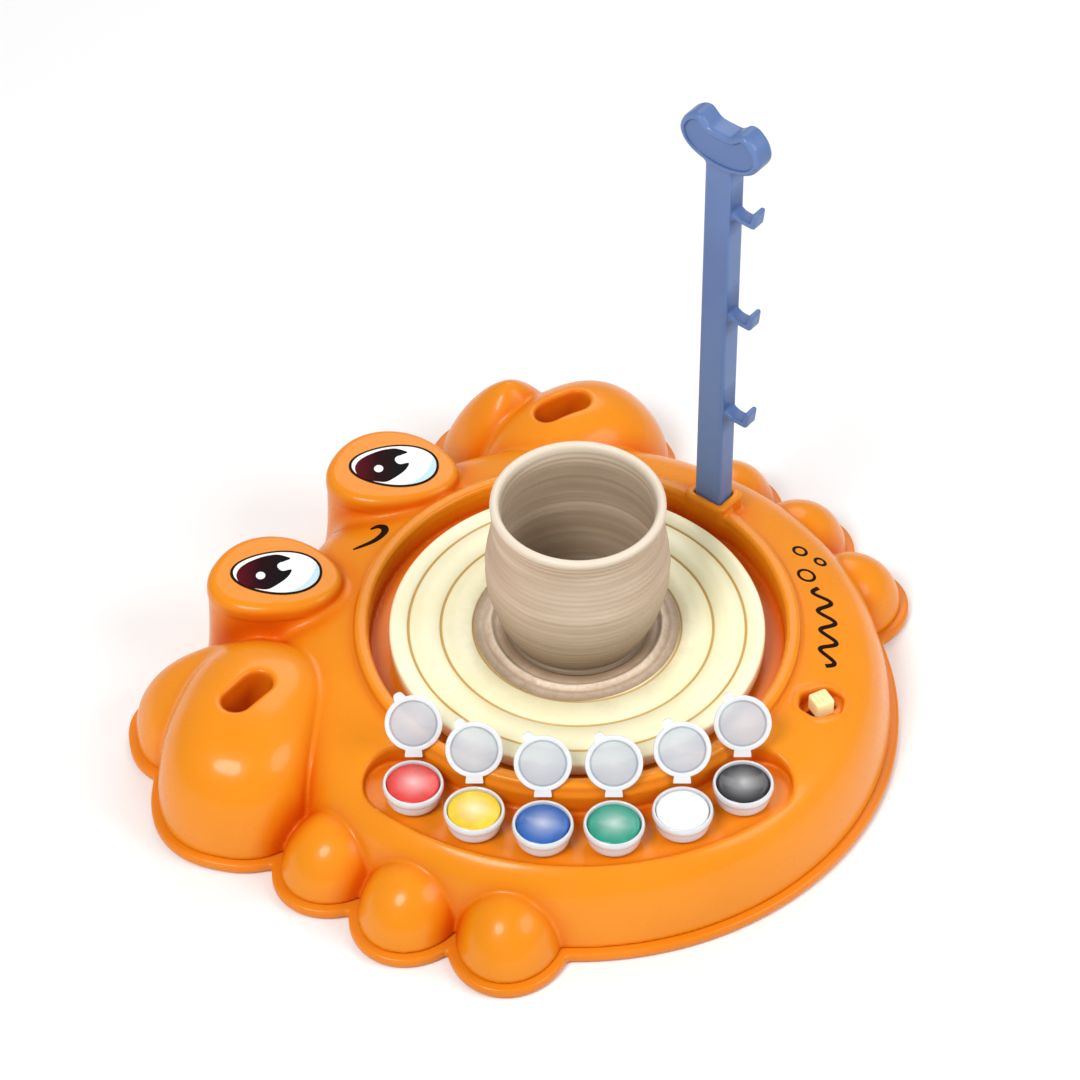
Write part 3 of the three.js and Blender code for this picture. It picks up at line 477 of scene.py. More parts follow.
def shell_distance(p):
    """The upper shell's outer form, without its seam plane."""
    x, y, z = p[:, 0], p[:, 1], p[:, 2]
    d = shell_section(np.hypot(x - SHELL_CENTRE[0], y - SHELL_CENTRE[1]), z)
    d = with_limbs(d, p, BLEND["leg"], BLEND["finger"])
    for ex, ey in EYES.values():
        plan = eye_plan(x - ex, y - ey)
        flare = 3.0 * np.exp(-np.maximum(z - SEAM, 0) / 12.0)
        stalk = prism_distance(plan + EYE["stalk_inset"] - flare, z, UNDERGROUND, EYE["top"] - 3, 1.0)
        plate = prism_distance(plan, z, EYE["top"] - 2 * EYE["bead"], EYE["top"], 3.3)
        plate = smooth_max(plate, EYE["top"] - EYE["bead"] - z, 1.0)
        d = smooth_min(smooth_min(d, stalk, BLEND["stalk"]), plate, BLEND["plate"])
    radius = np.hypot(x, y)
    ring = prism_distance(np.abs(radius - (RING_OUTER + RING_INNER) / 2)
                          - (RING_OUTER - RING_INNER) / 2, z, WELL_FLOOR - 3, RING_TOP, 1.7)
    d = smooth_min(d, ring, BLEND["ring"])
    u, v = in_post(p)
    collar = prism_distance(box_plan(u, v, SOCKET["width"], SOCKET["depth"], 3.0), z,
                            WELL_FLOOR - 3, SOCKET["top"], 1.3)
    d = smooth_min(d, collar, BLEND["collar"])
    d = d - 0.8 * np.exp(-((switch_plan(*in_switch(p)) - 1.5) / 1.1) ** 2) * (z > 36)
    tray = tray_plan(p)
    # The well's wall is thicker behind the post's socket.
    well = radius - RING_INNER + 1.8 * np.exp(-(u / 10) ** 4) * (v > -20)
    d = smooth_max(d, -np.maximum(well, WELL_FLOOR - z), BLEND["well"])
    d = smooth_max(d, -prism_distance(tray, z, TRAY["floor"], OVERHEAD, 1.2), BLEND["tray"])
    d = np.maximum(d, -np.maximum(radius - SPINDLE_HOLE, WELL_FLOOR - 6 - z))
    switch_well = prism_distance(switch_plan(*in_switch(p)), z, SWITCH["floor"], OVERHEAD, 0.6)
    d = smooth_max(d, -switch_well, BLEND["switch"])
    stem = box_plan(*in_switch(p), SWITCH["stem_length"], SWITCH["stem_width"], 1.0)
    d = np.maximum(d, -np.maximum(stem, SWITCH["stem_low"] - z))
    for claw in CLAWS:
        sx, sy, turn = claw["slot"]
        plan = capsule_plan(p, sx, sy, turn, SLOT["length"], SLOT["width"])
        cut = prism_distance(plan, z, SLOT["floor"], SLOT["top"], 3.0)
        d = smooth_max(d, -cut, BLEND["slot"])
    hole = 2 * SOCKET["clearance"]
    post = box_plan(u, v, POST["width"] + hole, POST["depth"] + hole, 0.6)
    return smooth_max(d, -np.maximum(post, SOCKET["floor"] - z), BLEND["socket"])


def gradient(field, p, step=0.15):
    out = np.empty_like(p)
    for axis in range(3):
        shift = np.zeros(3)
        shift[axis] = step
        out[:, axis] = (field(p + shift) - field(p - shift)) / (2 * step)
    return out


CORNERS = np.array([(i, j, k) for i in (0, 1) for j in (0, 1) for k in (0, 1)])
EDGES = [(a, b) for a in range(8) for b in range(a + 1, 8)
         if np.abs(CORNERS[a] - CORNERS[b]).sum() == 1]


def sample(field, low, high, step, band=6.0, coarse=4):
    """Field values on a grid: exact near the surface, from a coarse grid elsewhere."""
    counts = np.ceil((np.array(high, float) - low) / (step * coarse)).astype(int) + 1
    axes = [low[i] + np.arange(counts[i]) * step * coarse for i in range(3)]
    points = np.stack(np.meshgrid(*axes, indexing="ij"), axis=-1).reshape(-1, 3)
    values = field(points).reshape(counts)
    for axis in range(3):
        size = (values.shape[axis] - 1) * coarse + 1
        at = np.arange(size) / coarse
        before = np.minimum(at.astype(int), values.shape[axis] - 2)
        share_shape = [1, 1, 1]
        share_shape[axis] = size
        share = (at - before).reshape(share_shape)
        values = (np.take(values, before, axis) * (1 - share)
                  + np.take(values, before + 1, axis) * share)
    near = np.argwhere(np.abs(values) < band)
    exact = np.concatenate([field(low + part * step) for part in np.array_split(near, 24)])
    values[tuple(near.T)] = exact
    return values


def surface_net(field, low, high, step, relax=3):
    """A quad mesh of the field's zero surface, with its vertices moved onto it."""
    low = np.array(low, float)
    values = sample(field, low, high, step)
    inside = values < 0
    total = sum(inside[tuple(slice(c, n - 1 + c) for c, n in zip(corner, inside.shape))].astype(np.int8)
                for corner in CORNERS)
    cells = np.argwhere((total > 0) & (total < 8))
    index = np.full(total.shape, -1, int)
    index[tuple(cells.T)] = np.arange(len(cells))
    at = [values[tuple((cells + corner).T)] for corner in CORNERS]
    place = np.zeros((len(cells), 3))
    hits = np.zeros(len(cells))
    for a, b in EDGES:
        crosses = (at[a] < 0) != (at[b] < 0)
        share = np.where(crosses, at[a] / np.where(crosses, at[a] - at[b], 1), 0)
        place += crosses[:, None] * (CORNERS[a] + share[:, None] * (CORNERS[b] - CORNERS[a]))
        hits += crosses
    vertices = low + (cells + place / hits[:, None]) * step
    faces = []
    for axis in range(3):
        others = [i for i in range(3) if i != axis]
        ahead = np.zeros(3, int)
        ahead[axis] = 1
        lower = inside[tuple(slice(0, n - 1) if i == axis else slice(1, n - 1)
                             for i, n in enumerate(inside.shape))]
        upper = inside[tuple(slice(1, n) if i == axis else slice(1, n - 1)
                             for i, n in enumerate(inside.shape))]
        start = np.argwhere(lower != upper)
        flip = lower[tuple(start.T)]
        start[:, others] += 1
        one, two = np.zeros(3, int), np.zeros(3, int)
        one[others[0]] = 1
        two[others[1]] = 1
        quad = np.stack([index[tuple((start - one - two).T)], index[tuple((start - two).T)],
                         index[tuple(start.T)], index[tuple((start - one).T)]], axis=1)
        if axis == 1:
            flip = ~flip
        quad[~flip] = quad[~flip][:, ::-1]
        faces.append(quad)
    for _ in range(relax):
        slope = gradient(field, vertices)
        length = np.maximum((slope ** 2).sum(axis=1), 0.05)
        move = slope * (field(vertices) / length)[:, None]
        vertices -= np.clip(move, -step, step)
    return vertices, np.concatenate(faces)


# ---- Materials ----------------------------------------------------------


class Shader:
    """A Principled material with short calls for its procedural inputs."""

    def __init__(self, name, color, roughness=0.4, **settings):
        self.material = bpy.data.materials.new(name)
        self.material.use_nodes = True
        self.nodes = self.material.node_tree.nodes
        self.links = self.material.node_tree.links
        self.out = self.nodes["Principled BSDF"]
        self.out.inputs["Base Color"].default_value = (*color, 1)
        self.out.inputs["Roughness"].default_value = roughness
        for key, value in settings.items():
            self.out.inputs[key.replace("_", " ")].default_value = value
        self.place = self.add("ShaderNodeTexCoord").outputs["Object"]

    def add(self, kind, inputs=None, **settings):
        node = self.nodes.new(kind)
        for key, value in settings.items():
            setattr(node, key, value)
        for key, value in (inputs or {}).items():
            if isinstance(value, bpy.types.NodeSocket):
                self.links.new(value, node.inputs[key])
            else:
                node.inputs[key].default_value = value
        return node

    def noise(self, scale, detail=3, roughness=0.5, stretch=None, distortion=0.0):
        place = self.place
        if stretch:
            place = self.add("ShaderNodeMapping", {0: place, "Scale": stretch}).outputs[0]
        return self.add("ShaderNodeTexNoise", {"Vector": place, "Scale": scale, "Detail": detail,
                                               "Roughness": roughness,
                                               "Distortion": distortion}).outputs["Fac"]

    def math(self, kind, a, b=0.0):
        return self.add("ShaderNodeMath", {0: a, 1: b}, operation=kind).outputs[0]

    def radius(self):
        """Distance from the turntable's axis."""
        split = self.add("ShaderNodeSeparateXYZ", {0: self.place})
        squares = [self.math("MULTIPLY", split.outputs[i], split.outputs[i]) for i in (0, 1)]
        return self.math("POWER", self.math("ADD", *squares), 0.5)

    def remap(self, value, low, high, to_low=0.0, to_high=1.0):
        return self.add("ShaderNodeMapRange", {0: value, 1: low, 2: high, 3: to_low,
                                               4: to_high}).outputs[0]

    def ramp(self, value, stops):
        node = self.add("ShaderNodeValToRGB", {0: value})
        elements = node.color_ramp.elements
        while len(elements) < len(stops):
            elements.new(0.5)
        for element, (at, color) in zip(elements, stops):
            element.position = at
            element.color = (*color, 1)
        return node.outputs[0]

    def mix(self, share, a, b):
        node = self.add("ShaderNodeMix", data_type="RGBA")
        for key, value in ((0, share), (6, a), (7, b)):
            if isinstance(value, bpy.types.NodeSocket):
                self.links.new(value, node.inputs[key])
            elif key:
                node.inputs[key].default_value = (*value, 1)
            else:
                node.inputs[key].default_value = value
        return node.outputs[2]

    def attribute(self, name):
        return self.add("ShaderNodeAttribute", attribute_name=name).outputs["Fac"]

    def color(self, value):
        self.links.new(value, self.out.inputs["Base Color"])

    def rough(self, value):
        self.links.new(value, self.out.inputs["Roughness"])

    def bump(self, height, strength=0.3, distance=0.0002):
        node = self.add("ShaderNodeBump", {"Height": height, "Strength": strength,
                                           "Distance": distance})
        self.links.new(node.outputs[0], self.out.inputs["Normal"])


def moulded(name, color, crease_shade=None, roughness=0.3, coat=0.3, spread=0.05):
    """Moulded plastic: faint flow clouds, a fine orange-peel skin, rubbed, duller patches and painted shade in
    crevices.
    """
    s = Shader(name, color, roughness, Coat_Roughness=0.1, Specular_IOR_Level=0.18)
    crease_shade = crease_shade or tuple(c * 0.75 for c in color)
    cloud = s.noise(14, 3)
    light = tuple(min(1, c * (1 + spread) + spread * 0.15) for c in color)
    shade = tuple(c * (1 - spread) for c in color)
    tone = s.ramp(cloud, [(0.3, shade), (0.7, light)])
    # Painted shade: the colour is darkened towards the crease shade colour by how far each point sits in a
    # crevice, and the coat fades out there.
    crease = s.attribute("crease")
    s.color(s.mix(crease, tone, crease_shade))
    s.links.new(s.remap(crease, 0, 0.7, coat, 0), s.out.inputs["Coat Weight"])
    rubbed = s.noise(60, 4, 0.6)
    s.rough(s.remap(rubbed, 0.35, 0.75, roughness * 0.85, roughness * 1.25))
    peel = s.noise(900, 2)
    s.bump(peel, 0.12, 0.00015)
    return s.material


def clay_material(name):
    """Thrown clay, paler at the rim and darker towards the foot."""
    s = Shader(name, (0.52, 0.40, 0.28), 0.5, Coat_Weight=0.1, Coat_Roughness=0.3)
    rings = s.noise(1.0, 5, 0.6, stretch=(7, 7, 300), distortion=0.4)
    broad = s.noise(1.0, 3, 0.5, stretch=(16, 16, 70))
    tone = s.ramp(rings, [(0.28, (0.43, 0.315, 0.21)), (0.5, (0.56, 0.435, 0.315)),
                          (0.72, (0.68, 0.555, 0.42))])
    slip = s.ramp(broad, [(0.35, (0.47, 0.35, 0.24)), (0.65, (0.68, 0.56, 0.43))])
    tone = s.mix(0.5, tone, slip)
    height = s.add("ShaderNodeSeparateXYZ", {0: s.place}).outputs[2]
    foot, rim = (span("clay_pot")[i][2] * MM for i in (0, 1))
    low_share = s.math("MULTIPLY", s.remap(height, foot + 0.038, foot + 0.002), 0.8)
    tone = s.mix(low_share, tone, (0.12, 0.07, 0.03))
    s.color(s.mix(s.math("MULTIPLY", s.remap(height, rim - 0.004, rim - 0.001), 0.8), tone,
                  (0.84, 0.74, 0.60)))
    s.rough(s.remap(broad, 0.3, 0.7, 0.38, 0.62))
    grit = s.noise(1500, 3, 0.7)
    relief = s.math("ADD", rings, s.math("MULTIPLY", grit, 0.2))
    s.bump(relief, 0.3, 0.0005)
    return s.material


def slip_material():
    """The wet slip smeared over the disc: thick and pale by the pot, a thin brown wash outside."""
    s = Shader("clay_slip", (0.6, 0.45, 0.3), 0.4, Coat_Weight=0.08, Coat_Roughness=0.3)
    radius = s.radius()
    drift = s.noise(45, 5, 0.65, distortion=1.2)
    swayed = s.math("ADD", radius, s.math("MULTIPLY", s.math("SUBTRACT", drift, 0.5), 0.005))
    share = s.remap(swayed, 0.028, 0.042)
    tone = s.ramp(share, [(0.0, (0.31, 0.20, 0.12)), (0.22, (0.46, 0.32, 0.21)), (0.46, (0.82, 0.67, 0.51)),
                          (0.6, (0.60, 0.44, 0.31)), (0.72, (0.74, 0.57, 0.42)), (1.0, (0.56, 0.39, 0.25))])
    grain = s.noise(420, 4, 0.7)
    s.color(s.mix(s.remap(grain, 0.45, 0.8, 0.0, 0.45), tone, (0.36, 0.24, 0.16)))
    s.links.new(s.remap(swayed, 0.036, 0.0415, 1.0, 0.45), s.out.inputs["Alpha"])
    s.rough(s.remap(drift, 0.3, 0.7, 0.38, 0.6))
    s.bump(s.math("SINE", s.math("MULTIPLY", swayed, 1500)), 0.12, 0.0004)
    return s.material


def turntable_material():
    """Cream plastic with clay dust, and darker brown lines along its grooves."""
    s = Shader("cream_disc", (0.98, 0.92, 0.60), 0.38, Coat_Weight=0.15)
    radius = s.radius()
    cloud = s.noise(25, 4)
    tone = s.ramp(cloud, [(0.3, (0.97, 0.90, 0.55)), (0.7, (1.0, 0.95, 0.68))])
    for groove in GROOVES:
        gap = s.math("ABSOLUTE", s.math("SUBTRACT", radius, groove * MM))
        line = s.remap(gap, 0.00065, 0.00035)
        tone = s.mix(line, tone, (0.60, 0.36, 0.08))
    dust = s.math("MULTIPLY", s.remap(radius, 0.058, 0.040), s.remap(s.noise(70, 5, 0.7), 0.42, 0.72))
    tone = s.mix(s.math("MULTIPLY", dust, 0.45), tone, (0.66, 0.53, 0.36))
    s.color(tone)
    s.rough(s.remap(s.noise(120, 4), 0.3, 0.7, 0.30, 0.5))
    s.bump(s.noise(1.0, 2, stretch=(700, 700, 700)), 0.08, 0.00015)
    return s.material


def paint_material(name, color):
    s = Shader(f"paint_{name}", color, 0.2, Coat_Weight=0.25, Coat_Roughness=0.08,
               Specular_IOR_Level=0.25)
    cloud = s.noise(160, 3, distortion=0.8)
    light = tuple(min(1, c * 1.1 + 0.01) for c in color)
    tone = s.ramp(cloud, [(0.3, tuple(c * 0.85 for c in color)), (0.75, light)])
    # Painted highlight: the paint is lightened towards the middle of the cup, standing in for a glossy reflection.
    painted_highlight = s.math("MULTIPLY", s.math("POWER", s.attribute("middle"), 1.5), 0.7)
    s.color(s.mix(painted_highlight, tone, tuple(c + (1 - c) * 0.6 for c in color)))
    s.rough(s.remap(cloud, 0.3, 0.7, 0.1, 0.24))
    s.bump(s.noise(220, 2), 0.15, 0.0004)
    return s.material


def milky_material(name, color, roughness, opacity):
    """Translucent polypropylene with faint flow lines."""
    s = Shader(name, color, roughness, Alpha=opacity, Coat_Weight=0.5, Coat_Roughness=0.08)
    flow = s.noise(1.0, 4, stretch=(120, 500, 260), distortion=0.6)
    tone = s.ramp(flow, [(0.3, tuple(c * 0.96 for c in color)), (0.7, tuple(c * 1.03 for c in color))])
    s.color(s.mix(s.attribute("line"), tone, tuple(c * share for c, share in zip(color, (0.5, 0.6, 0.7)))))
    s.rough(s.remap(s.noise(300, 3), 0.3, 0.7, roughness * 0.8, roughness * 1.3))
    s.bump(s.noise(700, 2), 0.04, 0.00015)
    return s.material


def metal_material(name, color, roughness, stretch):
    s = Shader(name, color, roughness, Metallic=1.0)
    lines = s.noise(1.0, 4, 0.6, stretch=stretch)
    s.color(s.ramp(lines, [(0.3, tuple(c * 0.8 for c in color)), (0.7, color)]))
    s.rough(s.remap(lines, 0.3, 0.7, roughness * 0.7, roughness * 1.3))
    s.bump(lines, 0.1, 0.0001)
    return s.material


def rubber_material():
    s = Shader("rubber_black", (0.03, 0.03, 0.032), 0.8)
    dust = s.noise(180, 5, 0.7)
    s.color(s.ramp(dust, [(0.4, (0.02, 0.02, 0.022)), (0.8, (0.09, 0.085, 0.08))]))
    s.rough(s.remap(dust, 0.3, 0.7, 0.7, 0.92))
    s.bump(s.noise(1200, 3), 0.3, 0.0002)
    return s.material


def ink_material(name, color, roughness=0.4):
    """Pad-printed ink: nearly even, with tiny pinholes of thinner ink."""
    s = Shader(name, color, roughness, Specular_IOR_Level=0.04)
    thin = s.noise(1400, 3, 0.7)
    s.color(s.ramp(thin, [(0.3, tuple(min(1, c * 1.15 + 0.004) for c in color)), (0.6, color)]))
    s.rough(s.remap(thin, 0.3, 0.7, roughness * 0.85, roughness * 1.2))
    s.bump(thin, 0.08, 0.0001)
    return s.material


def iris_material(low_x, high_x):
    """Printed iris: maroon at its outer side, fading to black."""
    s = Shader("iris_print", (0.02, 0.0, 0.0), 0.4, Specular_IOR_Level=0.04)
    split = s.add("ShaderNodeSeparateXYZ", {0: s.place})
    share = s.remap(split.outputs[0], low_x * MM, high_x * MM)
    share = s.math("ADD", share, s.math("MULTIPLY", s.noise(900, 2), 0.06))
    s.color(s.ramp(share, [(0.0, (0.13, 0.004, 0.012)), (0.55, (0.02, 0.002, 0.004)),
                           (1.0, (0.006, 0.005, 0.006))]))
    return s.material


ORANGE = (0.84, 0.262, 0.004)
# The second orange is the painted shade colour for the orange plastic's crevices.
SHADED_ORANGE = (0.74, 0.125, 0.002)
MATERIALS = {
    "shell": moulded("orange_shell", ORANGE, SHADED_ORANGE, 0.3, 0.22, 0.05),
    "base": moulded("orange_base", (0.80, 0.225, 0.004), SHADED_ORANGE, 0.36, 0.15, 0.05),
    "turntable": turntable_material(),
    "knob": moulded("cream_knob", (0.96, 0.84, 0.42), roughness=0.35),
    "post": moulded("blue_post", (0.118, 0.20, 0.42), (0.06, 0.11, 0.28), 0.36, 0.25, 0.07),
    "clay": clay_material("wet_clay"),
    "slip": slip_material(),
    "cup": milky_material("milky_cup", (0.70, 0.72, 0.74), 0.22, 1.0),
    "lid": milky_material("milky_lid", (0.90, 0.92, 0.94), 0.2, 0.9),
    "lid_panel": milky_material("milky_lid_panel", (0.82, 0.86, 0.90), 0.12, 0.6),
    "ink": ink_material("ink_black", (0.012, 0.005, 0.003)),
    "eye": ink_material("ink_white", (0.93, 0.95, 0.97), 0.3),
    "eye_shade": ink_material("ink_pale_blue", (0.55, 0.76, 0.90), 0.3),
    "rubber": rubber_material(),
    "steel": metal_material("zinc_steel", (0.62, 0.63, 0.66), 0.3, (400, 400, 60)),
    "nylon": moulded("white_acetal", (0.84, 0.83, 0.78), roughness=0.45, coat=0.0),
    "cell": moulded("cell_sleeve", (0.05, 0.075, 0.10), roughness=0.3),
    "brass": metal_material("brass", (0.80, 0.60, 0.26), 0.25, (300, 300, 80)),
    "lead_red": moulded("lead_red", (0.55, 0.02, 0.02), roughness=0.45),
    "lead_black": moulded("lead_black", (0.02, 0.02, 0.02), roughness=0.5),
    "frame": moulded("dark_moulding", (0.035, 0.038, 0.042), roughness=0.55, coat=0.0),
}
PAINTS = {
    "red": (0.76, 0.035, 0.025), "yellow": (0.93, 0.60, 0.01), "blue": (0.01, 0.105, 0.42),
    "green": (0.008, 0.32, 0.21), "white": (0.93, 0.93, 0.93), "black": (0.018, 0.015, 0.02),
}


def dress_cad_nodes():
    """Every CAD node gets its slot's material, shown or not."""
    for entry in frame["record"]["subparts"]:
        node = nodes[entry["node"]]
        slot = entry["material_slot"]
        material = MATERIALS.get(slot)
        if material is None:
            material = paint_material(slot.split("_")[1], PAINTS[slot.split("_")[1]])
            MATERIALS[slot] = material
        node.data.materials.clear()
        node.data.materials.append(material)


# ---- Upper shell --------------------------------------------------------


def crease_of(field, vertices):
    """How far each vertex sits in a crevice, from 0 on an open face to 1; the moulded materials paint shade in by
    it.
    """
    slope = gradient(field, vertices)
    normal = slope / np.maximum(np.linalg.norm(slope, axis=1), 1e-6)[:, None]
    close = 1 - np.clip(field(vertices + normal * 4) / 4, 0, 1)
    wide = 1 - np.clip(field(vertices + normal * 14) / 14, 0, 1)
    return np.clip(0.55 * close + 0.75 * wide, 0, 1)


def points_of(piece):
    """A piece's vertices, in millimetres."""
    return np.array([v.co for v in piece.data.vertices]) / MM


def store(piece, name, values):
    attribute = piece.data.attributes.new(name, "FLOAT", "POINT")
    attribute.data.foreach_set("value", np.asarray(values, np.float32))


def upper_shell():
    low, high = span("upper_shell")

    def clipped(p):
        return smooth_max(shell_distance(p), SEAM - p[:, 2], 0.7)

    vertices, faces = surface_net(clipped, low - 3, high + 4, GRID)
    shell = make_object("upper_shell_skin", vertices, faces, MATERIALS["shell"], "housing", "shell",
                        ["upper_shell"])
    hollow_out(shell, low, high)
    store(shell, "crease", crease_of(shell_distance, points_of(shell)))


def hollow_out(shell, low, high):
    """Cuts the shell's inside away, a wall's thickness in from its outer face."""

    def cavity(p):
        return np.maximum(shell_distance(p) + WALL, -p[:, 2] - 2)

    vertices, faces = surface_net(cavity, low - (4, 4, 12), high + 4, 3.0, relax=2)
    carve(shell, "DIFFERENCE", vertices, faces)


def carve(piece, operation, vertices, faces):
    """Joins a closed solid to a piece, or takes it away."""
    tool = bpy.data.objects.new("tool", make_mesh("tool", vertices, faces))
    bpy.context.scene.collection.objects.link(tool)
    modifier = piece.modifiers.new("carve", "BOOLEAN")
    modifier.operation = operation
    modifier.solver = "MANIFOLD"
    modifier.object = tool
    bpy.context.view_layer.update()
    evaluated = piece.evaluated_get(bpy.context.evaluated_depsgraph_get())
    carved = bpy.data.meshes.new_from_object(evaluated)
    piece.modifiers.remove(modifier)
    if len(carved.vertices) < 8:
        raise ValueError(f"{piece.name} was lost while it was carved")
    piece.data = carved
    piece.data.shade_smooth()
    bpy.data.objects.remove(tool)


def surface_height(x, y):
    """The height of the shell's outer face at plan points, by stepping down onto it."""
    z = np.full(len(x), 60.0)
    for _ in range(60):
        z -= shell_distance(np.stack([x, y, z], axis=1)) * 0.9
    return np.maximum(z, 20.0)


# ---- Lower shell --------------------------------------------------------


def plan_distance(x, y):
    """The plan of the base before its flange."""
    p = np.stack([x, y, np.zeros(len(x))], axis=1)
    d = np.hypot(x - SHELL_CENTRE[0], y - SHELL_CENTRE[1]) - BASE["radius"]
    d = with_limbs(d, p, BLEND["leg_plan"], BLEND["finger_plan"])
    for x_eye, y_eye in EYES.values():
        d = smooth_min(d, eye_plan(x - x_eye, y - y_eye) + EYE["stalk_inset"], BLEND["eye_plan"])
    return d


def flange_outline(grow, count=1000):
    """The plan's outermost edge along rays from the axis, as x and y."""
    angles = np.arange(count) * 2 * math.pi / count
    c, s = np.cos(angles), np.sin(angles)
    radius = np.full(count, 200.0)
    for _ in range(90):
        radius -= (plan_distance(radius * c, radius * s) - grow) * 0.6
    return radius * c, radius * s


def lower_shell():
    """The base: a flanged floor with the battery bay, foot seats and screw holes cut into it."""
    low, high = BASE["low"], BASE["high"]
    standout, under_round, top_round = BASE["standout"], 0.8, 1.4
    levels = [(standout - under_round * (1 - math.sin(t)), low + under_round * (1 - math.cos(t)))
              for t in np.linspace(0, math.pi / 2, 5)]
    levels += [(standout - top_round * (1 - math.cos(t)), high - top_round + top_round * math.sin(t))
               for t in np.linspace(0, math.pi / 2, 6)]
    vertices = []
    for grow, height in levels:
        x, y = flange_outline(grow)
        vertices.extend(zip(x, y, np.full(len(x), height)))
    base = make_object("base_pan", vertices, stacked_faces(len(levels), len(x)), MATERIALS["base"],
                       "housing", "base", ["lower_shell"])
    floor, above, under, bay = BASE["floor"], BASE["above"], BASE["under"], (BAY["x"], BAY["y"])
    carve(base, "DIFFERENCE", *cylinder(BASE["hollow"], floor, above, *SHELL_CENTRE, segments=120))
    wall = 2 * BAY["wall"]
    carve(base, "UNION", *box(BAY["width"] + wall, BAY["length"] + wall, floor - 0.5, BAY["top"], *bay))
    carve(base, "UNION", *cylinder(BOSS["radius"], floor - 0.5, BOSS["top"], 0, 0))
    carve(base, "DIFFERENCE", *box(BAY["width"], BAY["length"], floor, 2 * BAY["top"], *bay))
    ledge = 2 * DOOR["ledge"]
    carve(base, "DIFFERENCE", *box(DOOR["width"] - ledge, DOOR["length"] - ledge, under, 6, *bay))
    gap, seat = 2 * DOOR["gap"], DOOR["seat"]
    carve(base, "DIFFERENCE", *box(DOOR["width"] + gap, DOOR["length"] + gap, under, seat, *bay))
    reach = DOOR["tab_end"] + DOOR["gap"] - BAY["y"]
    carve(base, "DIFFERENCE", *box(DOOR["tab"] + gap, reach, under, seat, BAY["x"],
                                   BAY["y"] + reach / 2))
    holes = [cylinder(FOOT_SEAT["radius"], under, FOOT_SEAT["top"], *polar(*foot)) for foot in FEET]
    holes += [cylinder(SCREW["seat"], under, SCREW["seat_top"], *polar(*place), segments=32)
              for place in SCREWS]
    carve(base, "DIFFERENCE", *merge(*holes))
    bores = [cylinder(SCREW["bore"], 1.5, above, *polar(*place), segments=20) for place in SCREWS]
    carve(base, "DIFFERENCE", *merge(*bores))
    base.data.set_sharp_from_angle(angle=math.radians(35))


def cylinder(radius, low, high, x, y, segments=48):
    return revolve([(0, low), (radius, low), (radius, high), (0, high)], segments, (x, y))


def box(width, length, low, high, x, y):
    a, b = width / 2, length / 2
    vertices = [(x + i * a, y + j * b, z) for z in (low, high)
                for i, j in ((-1, -1), (1, -1), (1, 1), (-1, 1))]
    faces = [[3, 2, 1, 0], [4, 5, 6, 7], [0, 1, 5, 4], [1, 2, 6, 5], [2, 3, 7, 6], [3, 0, 4, 7]]
    return vertices, faces


# ---- Prints -------------------------------------------------------------


def ribbon_mesh(points, width, taper=True, per=8, closed=False):
    """A flat ribbon along a plan curve, laid on the shell with both edges at its height."""
    line = spline(points, per, closed)
    along = np.gradient(line, axis=0) if not closed else np.roll(line, -1, 0) - np.roll(line, 1, 0)
    along /= np.linalg.norm(along, axis=1)[:, None]
    side = np.stack([-along[:, 1], along[:, 0]], axis=1)
    share = np.linspace(0, 1, len(line))
    half = width / 2 * (0.3 + 0.7 * np.sin(np.pi * share) ** 0.6 if taper else np.ones(len(line)))
    rows = []
    for offset in (-1, -0.5, 0, 0.5, 1):
        at = line + side * (half * offset)[:, None]
        z = surface_height(at[:, 0], at[:, 1])
        lift = 0.16 if abs(offset) < 1 else 0.05
        rows.append(np.column_stack([at, z + lift]))
    for offset in (1, -1):
        at = line + side * (half * offset)[:, None]
        z = surface_height(at[:, 0], at[:, 1])
        rows.append(np.column_stack([at, z - 0.35]))
    count = len(line)
    vertices = np.concatenate(rows)
    faces = []
    strips = len(rows)
    last = count if closed else count - 1
    for row in range(strips):
        other = (row + 1) % strips
        for i in range(last):
            j = (i + 1) % count
            faces.append([row * count + i, row * count + j, other * count + j, other * count + i])
    if not closed:
        faces.append([row * count for row in range(strips)])
        faces.append([row * count + count - 1 for row in reversed(range(strips))])
    return vertices.tolist(), faces


WAVE = dict(count=4, radius=100.3, sway=3.2, start=-11, sweep=25, width=1.9)
BUBBLES = [(92.7, 30.7, 3.3), (98.8, 41.5, 2.1), (90.7, 45.7, 2.6)]
BUBBLE_LINE = 1.3
SMILE = [(-90.6, 46), (-82.5, 49.2), (-78.2, 53.8), (-78.3, 57.4), (-80.8, 58.9), (-83.8, 57.8)]
SMILE_WIDTH = 3.1


def side_prints():
    """Generic marks beside the switch: waves and three bubbles in place of lettering."""
    points = []
    for share in np.arange(WAVE["count"] * 10 + 1) / (WAVE["count"] * 10):
        sway = WAVE["sway"] * math.sin(2 * math.pi * WAVE["count"] * share)
        points.append(polar(WAVE["radius"] + sway, WAVE["start"] + WAVE["sweep"] * share))
    make_object("wave_mark", *ribbon_mesh(points, WAVE["width"], False, 3), MATERIALS["ink"],
                "housing", "ink", ["wave_print"])
    for i, (x, y, radius) in enumerate(BUBBLES):
        ring = [(x + radius * math.cos(t), y + radius * math.sin(t))
                for t in np.arange(12) * math.pi / 6]
        make_object(f"bubble_mark_{i + 1}", *ribbon_mesh(ring, BUBBLE_LINE, False, 4, True),
                    MATERIALS["ink"], "housing", "ink")


def smile():
    make_object("smile_mark", *ribbon_mesh(SMILE, SMILE_WIDTH), MATERIALS["ink"], "housing", "ink",
                ["mouth_print"])


